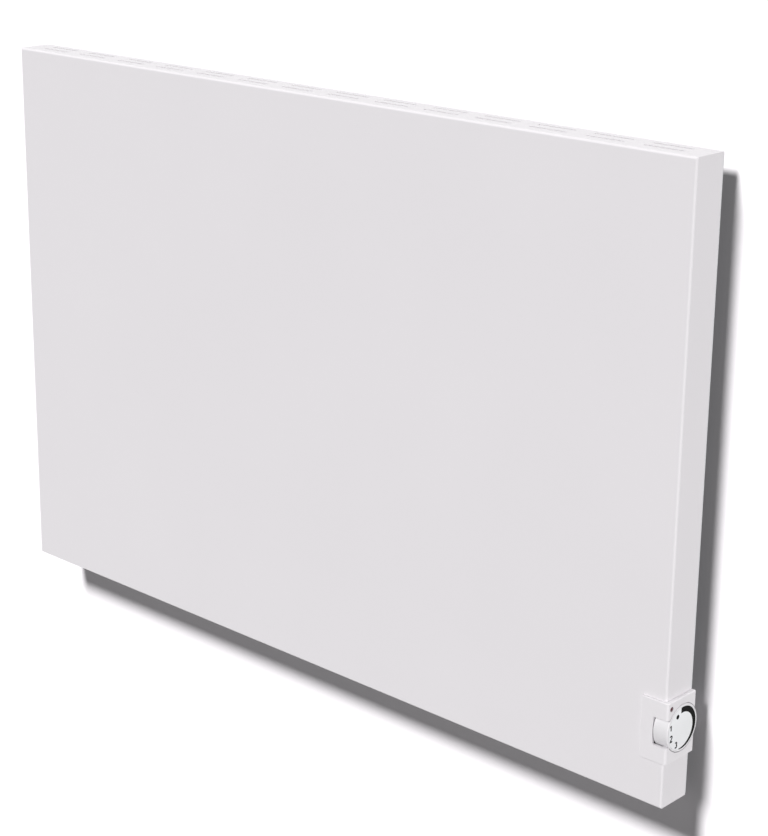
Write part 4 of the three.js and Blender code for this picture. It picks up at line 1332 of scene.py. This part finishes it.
@dataclass
class Collar:
    """The corner moulding with the window in its front and the round well in its side."""

    palette: Palette
    left: float = 425.0 * MM
    outer: float = 454.2 * MM
    face: float = -61.0 * MM
    back: float = -18.0 * MM
    half_height: float = 30.5 * MM
    corner: float = 2.6 * MM
    edge: float = 1.0 * MM
    small_edge: float = 0.12 * MM
    casing_right: float = 450.05 * MM
    casing_front: float = -58.05 * MM
    casing_fold: float = 2.45 * MM
    well: float = 23.6 * MM
    well_floor: float = 447.5 * MM
    window_left: float = 438.6 * MM
    window_half: float = 13.8 * MM
    window_back: float = -54.0 * MM
    skirt: Pair = (0.8 * MM, 11.6 * MM)
    skirt_lap: float = 0.5 * MM
    lamp_floor: float = 445.0 * MM
    tool_end: float = 460.0 * MM
    lamp_hole: float = 2.35 * MM
    lamp_seat: float = 2.85 * MM
    tongue_y: Pair = (-50.6 * MM, -26.5 * MM)
    tongue_rise: float = 25.0 * MM
    tongue_tip: float = 432.3 * MM
    tongue_catch: float = 435.0 * MM
    tongue_half: Pair = (2.0 * MM, 1.0 * MM)
    barb: float = 0.9 * MM
    barb_slope: float = 0.85 * MM

    def build(self) -> None:
        """Makes the collar and hands it over."""
        body = self._outside()
        combine(body, self._casing_corner())
        wheel, lamp = (0.0, DIAL_Y, DIAL_Z), (0.0, LAMP_Y, LAMP_Z)
        combine(body, drum("well_tool", Axis.X, wheel, self.well,
                           (self.well_floor, self.tool_end), 128))
        half = self.window_half
        combine(body, block("window_tool", (self.window_left, self.face - 2 * CLEAR, DIAL_Z - half),
                            (self.outer + 2 * CLEAR, self.window_back, DIAL_Z + half)))
        for radius, end in ((self.lamp_hole, self.tool_end), (self.lamp_seat, self.casing_right)):
            combine(body, drum("lamp_tool", Axis.X, lamp, radius, (self.lamp_floor, end)))
        clean(body)
        soften(body, self.small_edge, 50.0)
        thick, half = self.skirt
        skirt = block("skirt", (self.window_left - thick, self.casing_front - self.skirt_lap,
                                DIAL_Z - half), (self.window_left, self.window_back, DIAL_Z + half))
        combine(body, skirt, Blend.JOIN)
        for y in self.tongue_y:
            for side in (-1.0, 1.0):
                combine(body, self._tongue(y, side), Blend.JOIN)
        clean(body)
        smooth(body, 35.0)
        hand_over(body, Place("heater", "white_plastic", ("thermostat_collar",)), self.palette)

    def _outside(self) -> Piece:
        """Makes the collar's outer form with its rounded corner and edges.

        Returns:
            The solid form.
        """
        body = block("collar_moulding", (self.left, self.face, DIAL_Z - self.half_height),
                     (self.outer, self.back, DIAL_Z + self.half_height))
        with editing(body, "EDGE"):
            pick_edges(body, lambda a, b: min(a.x, b.x) > self.outer - TINY
                       and max(a.y, b.y) < self.face + TINY)
            round_over(self.corner, 8)
            pick_edges(body, self._is_rim)
            round_over(self.edge, 5)
        return body

    def _is_rim(self, a: Vector, b: Vector) -> bool:
        """Whether an edge is one of those that show and isn't rounded yet.

        Args:
            a: one end of the edge.
            b: its other end.

        Returns:
            True for such an edge.
        """
        hidden = all(at.y > self.back - TINY and at.x < self.outer - TINY for at in (a, b))
        inner = max(a.x, b.x) < self.left + TINY and max(a.y, b.y) > self.face + TINY
        corner = (abs(a.z - b.z) > TINY and min(a.x, b.x) > self.left + TINY
                  and max(a.y, b.y) < self.back - TINY)
        return not (hidden or inner or corner)

    def _casing_corner(self) -> Piece:
        """Makes the space of the casing's folded corner.

        Returns:
            The tool that cuts it.
        """
        reach = self.half_height + CLEAR
        room = block("casing_tool", (self.left - CLEAR, self.casing_front, DIAL_Z - reach),
                     (self.casing_right, self.back + CLEAR, DIAL_Z + reach))
        with editing(room, "EDGE"):
            pick_edges(room, lambda a, b: min(a.x, b.x) > self.casing_right - TINY
                       and max(a.y, b.y) < self.casing_front + TINY)
            round_over(self.casing_fold, 7)
        return room

    def _tongue(self, y: float, side: float) -> Piece:
        """Makes one snap tongue with its barb behind the housing's partition.

        Args:
            y: middle of the tongue.
            side: 1 for a tongue above the wheel, -1 for one below it.

        Returns:
            The tongue.
        """
        half_y, half_z = self.tongue_half
        z = DIAL_Z + side * self.tongue_rise
        tongue = block("tongue", (self.tongue_tip, y - half_y, z - half_z),
                       (self.casing_right + CLEAR, y + half_y, z + half_z))
        with editing(tongue):
            bisect((self.tongue_catch, 0.0, 0.0), (1.0, 0.0, 0.0))
            pick_faces(tongue, lambda middle, normal: normal.z * side > FACING
                       and middle.x < self.tongue_catch)
            extrude((0.0, 0.0, side * self.barb))
        with editing(tongue, "EDGE"):
            pick_edges(tongue, lambda a, b: max(a.x, b.x) < self.tongue_tip + TINY
                       and min(a.z * side, b.z * side) > z * side + half_z)
            round_over(self.barb_slope, 1)
        return tongue


def arc(middle: Pair, radius: float, first: float, last: float, steps: int = 12) -> list[Pair]:
    """Points round an arc, in parts of a numeral's height.

    Args:
        middle: its middle, across and up.
        radius: its radius.
        first: where it starts, in degrees from the right-hand side, anticlockwise.
        last: where it ends.
        steps: how many pieces it has.

    Returns:
        The points, across and up.
    """
    turns = (math.radians(first + (last - first) * step / steps) for step in range(steps + 1))
    return [(middle[0] + radius * math.cos(turn), middle[1] + radius * math.sin(turn))
            for turn in turns]


@dataclass(frozen=True)
class Numeral:
    """A numeral on the wheel's face: its strokes, in parts of its height, and where it stands."""

    text: str
    clock: float
    radius: float
    height: float
    strokes: tuple[list[Pair], ...]
    nib: float = 1.5 * MM


@dataclass
class Wheel:
    """The thumb wheel: a cup with a rounded rim, a hub and a stop lug, and a scale on its face."""

    palette: Palette
    inner: float = 439.0 * MM
    face: float = 454.8 * MM
    radius: float = 23.2 * MM
    edge: float = 1.4 * MM
    wall: float = 1.8 * MM
    front: float = 2.2 * MM
    hub: float = 5.3 * MM
    hub_end: float = 440.1 * MM
    bore: float = 3.3 * MM
    flat: float = 2.4 * MM
    chamfer: float = 0.3 * MM
    field: float = 21.6 * MM
    field_sink: float = 0.22 * MM
    lug: Pair = (4.8 * MM, 8.8 * MM)
    lug_clock: float = 225.0
    lug_half: float = 1.7 * MM
    lug_edge: float = 0.5 * MM
    lug_root: float = 0.6 * MM
    lug_end: float = 437.9 * MM
    foil: Pair = (21.2 * MM, 0.06 * MM)
    ink: float = 0.06 * MM
    ink_sink: float = 0.02 * MM
    crescent: float = 20.8 * MM
    crescent_width: Pair = (5.5 * MM, 0.9 * MM)
    crescent_taper: float = 2.1
    crescent_clock: Pair = (-8.0, 191.0)
    crescent_slant: float = 1.3
    mark: tuple[float, float, float] = (15.4 * MM, -31.0, 2.25 * MM)
    numbers: tuple[Numeral, ...] = (
        Numeral("1", 286.0, 18.8 * MM, 6.4 * MM, (
            [(0.08, -0.42), (0.08, 0.0), (0.08, 0.42)],
            [(0.06, 0.36), (-0.05, 0.28), (-0.16, 0.22)])),
        Numeral("2", 251.5, 17.8 * MM, 7.2 * MM, (
            [*arc((0.0, 0.2), 0.2, 165.0, -35.0), (0.0, -0.14), (-0.17, -0.36)],
            [(-0.25, -0.4), (0.0, -0.4), (0.27, -0.4)])),
        Numeral("3", 211.0, 16.8 * MM, 6.4 * MM, (
            arc((0.0, 0.2), 0.19, 150.0, -80.0), arc((0.0, -0.2), 0.22, 80.0, -150.0))),
    )

    def build(self) -> None:
        """Makes the wheel and its scale."""
        self._cup()
        self._foil()
        self._scale()

    def _centre(self, x: float) -> Point:
        """The point on the axis at a place along X."""
        return x, DIAL_Y, DIAL_Z

    def _cup(self) -> None:
        """Makes the wheel: turned from the hub's end, round the rim and into the sunk field."""
        floor, inside = self.face - self.front, self.radius - self.wall
        chamfer, steps = self.chamfer, 8
        rim = [(self.face - self.edge * (1 - math.sin(turn)),
                self.radius - self.edge * (1 - math.cos(turn)))
               for turn in (math.pi / 2 * step / steps for step in range(steps + 1))]
        cup = turned("wheel_cup", Axis.X, self._centre(0.0), [
            (self.hub_end, self.hub), (floor, self.hub), (floor, inside),
            (self.inner + chamfer, inside), (self.inner, inside + chamfer),
            (self.inner, self.radius - chamfer), (self.inner + chamfer, self.radius), *rim,
            (self.face, self.field),
            (self.face - self.field_sink, self.field - self.field_sink)], 128)
        self._add_lug(cup)
        combine(cup, self._spindle_space())
        clean(cup)
        smooth(cup, 30.0)
        # the wheel takes the darker copy of the white plastic, painted shade for its place in the
        # collar's window
        hand_over(cup, Place("dial", "white_plastic", ("dial_wheel",)), self.palette, "wheel")

    def _foil(self) -> None:
        """Lays the printed foil in the face's sunk field."""
        low, (reach, thick) = self.face - self.field_sink, self.foil
        foil = turned("wheel_foil", Axis.X, self._centre(0.0), [
            (low - thick / 2, reach), (low + thick / 2, reach), (low + thick, reach - thick)], 96)
        smooth(foil, weighted=False)
        hand_over(foil, Place("dial", "white_plastic"), self.palette, "foil")

    def _spindle_space(self) -> Piece:
        """Makes the space of the spindle with its flat.

        Returns:
            The tool that cuts it.
        """
        space = drum("bore_tool", Axis.X, self._centre(0.0), self.bore,
                     (self.hub_end - CLEAR, self.face - self.front), 40)
        with editing(space):
            bisect((0.0, 0.0, DIAL_Z + self.flat), (0.0, 0.0, 1.0), clear_outer=True, use_fill=True)
        return space

    def _add_lug(self, cup: Piece) -> None:
        """Joins the stop lug to the hub: made above the axis, then turned to its place.

        Args:
            cup: the wheel.
        """
        near, far = self.lug
        lug = block("lug", (self.lug_end, DIAL_Y - self.lug_half, DIAL_Z + near),
                    (self.face - self.front + self.lug_root, DIAL_Y + self.lug_half, DIAL_Z + far))
        with editing(lug, "EDGE"):
            pick_edges(lug, lambda a, b: min(a.z, b.z) > DIAL_Z + far - TINY
                       and abs(a.y - b.y) < TINY)
            round_over(self.lug_edge, 3)
            pick_all()
            bpy.ops.transform.rotate(value=math.radians(self.lug_clock), orient_axis="X",
                                     center_override=self._centre(0.0))
        combine(cup, lug, Blend.JOIN)

    def _scale(self) -> None:
        """Prints the rising crescent, the mark and the numbers on the sunk field."""
        parts = [self._crescent(), self._mark(), *map(self._number, self.numbers)]
        take(parts[0])
        for part in parts:
            part.select_set(True)
        bpy.ops.object.join()
        scale = settle("wheel_scale")
        clean(scale)
        smooth(scale, weighted=False)
        hand_over(scale, Place("dial", "black_plastic"), self.palette, "ink")

    def _on_face(self, radius: float, degrees: float, lift: float = 0.0) -> Vector:
        """A point on the foil.

        Args:
            radius: distance from the axis.
            degrees: turn from the top, clockwise as seen from the right.
            lift: distance off the foil.

        Returns:
            The point.
        """
        turn = math.radians(degrees)
        x = self.face - self.field_sink + self.foil[1] + lift
        return Vector((x, DIAL_Y + radius * math.sin(turn), DIAL_Z + radius * math.cos(turn)))

    def _crescent(self) -> Piece:
        """Draws the crescent: a strip wound round the axis, broad at its upper end.

        Returns:
            The printed strip.
        """
        strip = strip_of("crescent", 72)
        (broad, narrow), (first, last) = self.crescent_width, self.crescent_clock
        for point in strip.data.vertices:
            share = (point.co.x + 1.0) / 2.0
            radius, start = self.crescent, first
            if point.co.y < 0:
                radius -= broad * (1 - share ** self.crescent_taper) + narrow * share
                start *= self.crescent_slant
            point.co = self._on_face(radius, start + (last - start) * share, -self.ink_sink)
        self._thicken(strip)
        return strip

    def _mark(self) -> Piece:
        """Draws the round mark beside the crescent's start.

        Returns:
            The printed mark.
        """
        reach, clock, radius = self.mark
        middle = self._on_face(reach, clock, -self.ink_sink)
        return drum("mark", Axis.X, middle, radius, (middle.x, middle.x + self.ink), 32)

    def _number(self, number: Numeral) -> Piece:
        """Prints one number, upright, with a broad nib at its place on the face.

        Args:
            number: the numeral.

        Returns:
            Its strokes in one piece.
        """
        middle = self._on_face(number.radius, number.clock, -self.ink_sink)
        drawn: Piece | None = None
        for path in number.strokes:
            last = len(path) - 1
            stroke = strip_of(f"number_{number.text}", last)
            points = [Vector((0.0, across, rise)) * number.height for across, rise in path]
            for point in stroke.data.vertices:
                step = round((point.co.x + 1.0) / 2.0 * last)
                run = points[min(step + 1, last)] - points[max(step - 1, 0)]
                side = math.copysign(number.nib / 2, point.co.y)
                point.co = middle + points[step] + Vector((0.0, -run.z, run.y)).normalized() * side
            self._thicken(stroke)
            if drawn:
                combine(drawn, stroke, Blend.JOIN)
            else:
                drawn = stroke
        return drawn

    def _thicken(self, strip: Piece) -> None:
        """Gives a printed strip the thickness of its ink.

        Args:
            strip: the flat strip.
        """
        with editing(strip):
            pick_all()
            extrude((self.ink, 0.0, 0.0))
            face_outwards()


@dataclass
class LampLens:
    """The small domed lens, with the flange that seats it in the collar."""

    palette: Palette
    radius: float = 2.2 * MM
    rise: float = 0.9 * MM
    flange: float = 2.7 * MM
    back: float = 449.4 * MM
    seat: float = 450.0 * MM
    tip: float = 454.5 * MM
    tip_share: float = 0.12

    def build(self) -> None:
        """Makes the lens and hands it over."""
        dome = [(self.tip - self.rise * (1 - math.sin(turn)), self.radius * math.cos(turn))
                for turn in (math.radians(angle) for angle in (0, 18, 36, 54, 72))]
        lens = turned("lamp_lens", Axis.X, (0.0, LAMP_Y, LAMP_Z), [
            (self.back, self.flange), (self.seat, self.flange), (self.seat, self.radius), *dome,
            (self.tip, self.tip_share * self.radius)], 40)
        smooth(lens, 40.0, weighted=False)
        hand_over(lens, Place("heater", "red_lens", ("led_lens",)), self.palette)


# ---------------------------------------------------------------- supply inlet


@dataclass
class CableGland:
    """The flanged bush in the rear panel where the supply lead comes in."""

    palette: Palette
    x: float = 406.0 * MM
    z: float = -132.0 * MM
    inner: float = -25.8 * MM
    seat: float = -17.7 * MM
    outer: float = -8.7 * MM
    bush: float = 7.0 * MM
    flange: float = 10.0 * MM
    flange_height: float = 3.0 * MM
    flange_slope: float = 0.5 * MM
    taper: float = 1.0 * MM
    bore: float = 3.6 * MM
    flat: float = 9.0 * MM
    flat_ends: Pair = (1.0 * MM, 2.6 * MM)
    edge: float = 0.25 * MM

    def build(self) -> None:
        """Makes the bush with its bore and hands it over."""
        axis, rim = (self.x, 0.0, self.z), self.seat + self.flange_height
        body = turned("gland_bush", Axis.Y, axis, [
            (self.inner, self.bush), (self.seat, self.bush), (self.seat, self.flange),
            (rim, self.flange), (rim + self.flange_slope, self.bush),
            (self.outer, self.bush - self.taper)], 48)
        combine(body, drum("bore_tool", Axis.Y, axis, self.bore,
                           (self.inner - CLEAR, self.outer + CLEAR), 40))
        low, high = self.flat_ends
        reach = self.flange + CLEAR
        combine(body, block("flat_tool", (self.x - reach, self.seat + low, self.z - reach),
                            (self.x - self.flat, self.seat + high, self.z + reach)))
        clean(body)
        soften(body, self.edge)
        smooth(body)
        hand_over(body, Place("heater", "black_plastic", ("cable_gland",)), self.palette)


# ---------------------------------------------------------------- inner pieces


class Interior:
    """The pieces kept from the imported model, each with the finish of its slot."""

    def __init__(self, palette: Palette) -> None:
        """Keeps the palette for the finishes."""
        self.palette = palette

    def dress(self) -> None:
        """Gives every carried-over node its finish."""
        for row in frame["record"]["subparts"]:
            node = frame["nodes"][row["node"]]
            if not node.hide_render:
                self.palette.dress(node, row["material_slot"])
                LOG.info("%s: carried over in %s", row["node"], row["material_slot"])


# ---------------------------------------------------------------- studio


@dataclass
class Camera:
    """The photograph's camera."""

    place: Point = (1.3933, -1.4659, 0.6176)
    azimuth: float = 43.2302
    elevation: float = 17.2209
    roll: float = -0.4553
    lens: float = 88.4964
    sensor: float = 36.0
    shift: Pair = (0.0296, -0.0365)
    clip: Pair = (0.05, 50.0)

    def build(self) -> None:
        """Adds the camera and makes it the scene's own."""
        turn, rise, roll = map(math.radians, (self.azimuth, self.elevation, self.roll))
        back = Vector((math.sin(turn) * math.cos(rise), -math.cos(turn) * math.cos(rise),
                       math.sin(rise)))
        level = Vector((math.cos(turn), math.sin(turn), 0.0))
        upright = back.cross(level)
        across = level * math.cos(roll) - upright * math.sin(roll)
        axes = Matrix((across, back.cross(across), back)).transposed()
        deselect_all()
        bpy.ops.object.camera_add(location=self.place, rotation=axes.to_euler())
        camera = bpy.context.object
        camera.data.lens = self.lens
        camera.data.sensor_width = self.sensor
        camera.data.shift_x, camera.data.shift_y = self.shift
        camera.data.clip_start, camera.data.clip_end = self.clip
        bpy.context.scene.camera = camera


class Lit(Enum):
    """What a lamp lights."""

    HEATER = "EXCLUDE"
    BACKDROP = "INCLUDE"


@dataclass(frozen=True)
class Lamp:
    """One wide lamp, far away, that lights either the heater or the backdrop behind it."""

    name: str
    direction: Point
    strength: float
    softness: float
    lit: Lit = Lit.HEATER
    mirrored: bool = False
    distance: float = 2.5

    def build(self, backdrop: Piece) -> None:
        """Adds the lamp.

        Args:
            backdrop: the sweep that it is kept off, or kept to.
        """
        back = -Vector(self.direction)
        deselect_all()
        bpy.ops.object.light_add(type="SUN", location=self.distance * back.normalized(),
                                 rotation=back.to_track_quat("Z", "Y").to_euler())
        lamp = bpy.context.object
        lamp.name = f"lamp_{self.name}"
        lamp.data.energy = self.strength
        lamp.data.angle = math.radians(self.softness)
        lamp.visible_glossy = self.mirrored
        receivers = bpy.data.collections.new(f"lit_by_{self.name}")
        receivers.objects.link(backdrop)
        receivers.collection_objects[0].light_linking.link_state = self.lit.value
        lamp.light_linking.receiver_collection = receivers


@dataclass
class Studio:
    """A pale wall and floor in one sweep, with soft lamps on every side."""

    wall: float = 0.6 * MM
    floor: float = -1.1
    reach: float = 10.0
    sweep: float = 0.35
    color: Point = (0.7, 0.68, 0.7)
    ambient: float = 0.2
    near: float = 0.0192
    glow: float = 0.042
    lamps: tuple[Lamp, ...] = (
        Lamp("wall", (0.125, 1.0, -1.08), 6.3, 11.0, Lit.BACKDROP),
        Lamp("front", (0.1, 1.0, -0.5), 2.72, 40.0, mirrored=True),
        Lamp("right", (-1.0, -0.1, 0.0), 2.0, 20.0),
        Lamp("left", (1.0, -0.1, 0.0), 1.86, 20.0),
        Lamp("top", (0.0, -0.1, -1.0), 1.33, 20.0),
        Lamp("under", (0.0, -0.1, 1.0), 1.2, 20.0),
        Lamp("rear", (0.0, -1.0, -0.6), 0.3, 50.0, mirrored=True),
    )

    def build(self) -> None:
        """Makes the sweep, the lamps and the world."""
        bpy.context.scene.view_settings.view_transform = "Standard"
        backdrop = self._make_sweep()
        for lamp in self.lamps:
            lamp.build(backdrop)
        self._make_world()

    def _make_sweep(self) -> Piece:
        """Makes the wall, drawn forward along the floor, with a round bend between the two.

        Returns:
            The sweep.
        """
        deselect_all()
        bpy.ops.mesh.primitive_plane_add(
            size=self.reach, location=(0.0, self.wall, self.reach / 2 + self.floor),
            rotation=(math.pi / 2, 0.0, 0.0))
        sweep = settle("studio_sweep")
        with editing(sweep, "EDGE"):
            pick_edges(sweep, lambda a, b: max(a.z, b.z) < self.floor + TINY)
            extrude((0.0, -self.reach, 0.0))
            pick_edges(sweep, lambda a, b: max(a.z, b.z) < self.floor + TINY
                       and min(a.y, b.y) > self.wall - TINY)
            round_over(self.sweep, 16)
        smooth(sweep, 60.0, weighted=False)
        sweep.data.materials.append(self._sweep_finish())
        return sweep

    def _sweep_finish(self) -> bpy.types.Material:
        """Makes a matt white that takes shadows and shows only from its own side.

        Returns:
            The material.
        """
        graph = Graph.of_material("studio_white")
        path = graph.add("ShaderNodeLightPath")
        facing = graph.add("ShaderNodeNewGeometry")
        near = 1.0 - Value(graph, path.outputs["Ray Length"]).above(self.near)
        bounced = near * Value(graph, path.outputs["Diffuse Depth"]).above(0.5)
        solid = Value(graph, path.outputs["Is Camera Ray"]).at_least(bounced)
        seen = solid * (1.0 - Value(graph, facing.outputs["Backfacing"]))
        matt = graph.add("ShaderNodeBsdfDiffuse", {}, {"Color": self.color})
        glow = graph.add("ShaderNodeEmission", {}, {"Color": self.color, "Strength": self.glow})
        wall = graph.add("ShaderNodeAddShader", {}, {0: matt.outputs[0], 1: glow.outputs[0]})
        clear = graph.add("ShaderNodeBsdfTransparent")
        graph.show("Material Output", graph.add("ShaderNodeMixShader", {}, {
            0: seen, 1: clear.outputs[0], 2: wall.outputs[0]}))
        return graph.owner

    def _make_world(self) -> None:
        """Makes a world that is white where it is seen or mirrored, and else a low even light."""
        graph = Graph(bpy.data.worlds.new("studio"))
        bpy.context.scene.world = graph.owner
        path = graph.add("ShaderNodeLightPath")
        first = 1.0 - Value(graph, path.outputs["Diffuse Depth"]).above(0.5)
        mirrored = first * Value(graph, path.outputs["Is Glossy Ray"])
        direct = Value(graph, path.outputs["Is Camera Ray"]).at_least(
            Value(graph, path.outputs["Is Transmission Ray"]))
        plain = graph.add("ShaderNodeBackground", {}, {"Color": WHITE, "Strength": self.ambient})
        white = graph.add("ShaderNodeBackground", {}, {"Color": WHITE, "Strength": 1.0})
        graph.show("World Output", graph.add("ShaderNodeMixShader", {}, {
            0: direct.at_least(mirrored), 1: plain.outputs[0], 2: white.outputs[0]}))


# ---------------------------------------------------------------- the whole heater

SCREW_SHARES = (-0.44, -0.16, 0.16, 0.44)  # of the casing's width
SCREW_LEVEL = 293.4 * MM
SCREW_HOLE = 1.9 * MM
GLAND_HOLE = 7.3 * MM
EARTH_HOLE = 2.3 * MM


def rear_screws() -> dict[str, Pair]:
    """Gives the places of the rear panel's screws in X and Z, two to each share of the width.

    Returns:
        The places by the screws' node names.
    """
    places = [(share * 2 * Casing.half_width, side * SCREW_LEVEL)
              for share in SCREW_SHARES for side in (1, -1)]
    return {f"rear_screw_{number}": place for number, place in enumerate(places, 1)}


def middle_of(node: str) -> Pair:
    """Gives the middle of a node as seen from behind, in X and Z."""
    low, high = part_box(node)
    return (low.x + high.x) / 2, (low.z + high.z) / 2


def main() -> None:
    """Builds the heater's pieces in order, then the studio round it."""
    logging.basicConfig(level=logging.INFO, format="%(name)s: %(message)s")
    palette = Palette()
    Camera().build()
    lip_screws = rear_screws()
    housing_screws = {name: middle_of(name) for name in ("housing_screw_1", "housing_screw_2")}
    screws = {**lip_screws, **housing_screws}
    Casing(palette, screw_places=list(lip_screws.values())).build()
    holes = [(x, z, SCREW_HOLE) for x, z in screws.values()]
    holes.append((*middle_of("cable_gland"), GLAND_HOLE))
    holes.append((*middle_of("earth_stud"), EARTH_HOLE))
    RearPanel(palette, holes=holes).build()
    PanScrew(palette, screws).build()
    WallBracket(palette).build()
    Collar(palette).build()
    Wheel(palette).build()
    LampLens(palette).build()
    CableGland(palette).build()
    Interior(palette).dress()
    Studio().build()
    LOG.info("sizes written")


if __name__ == "__main__":
    main()
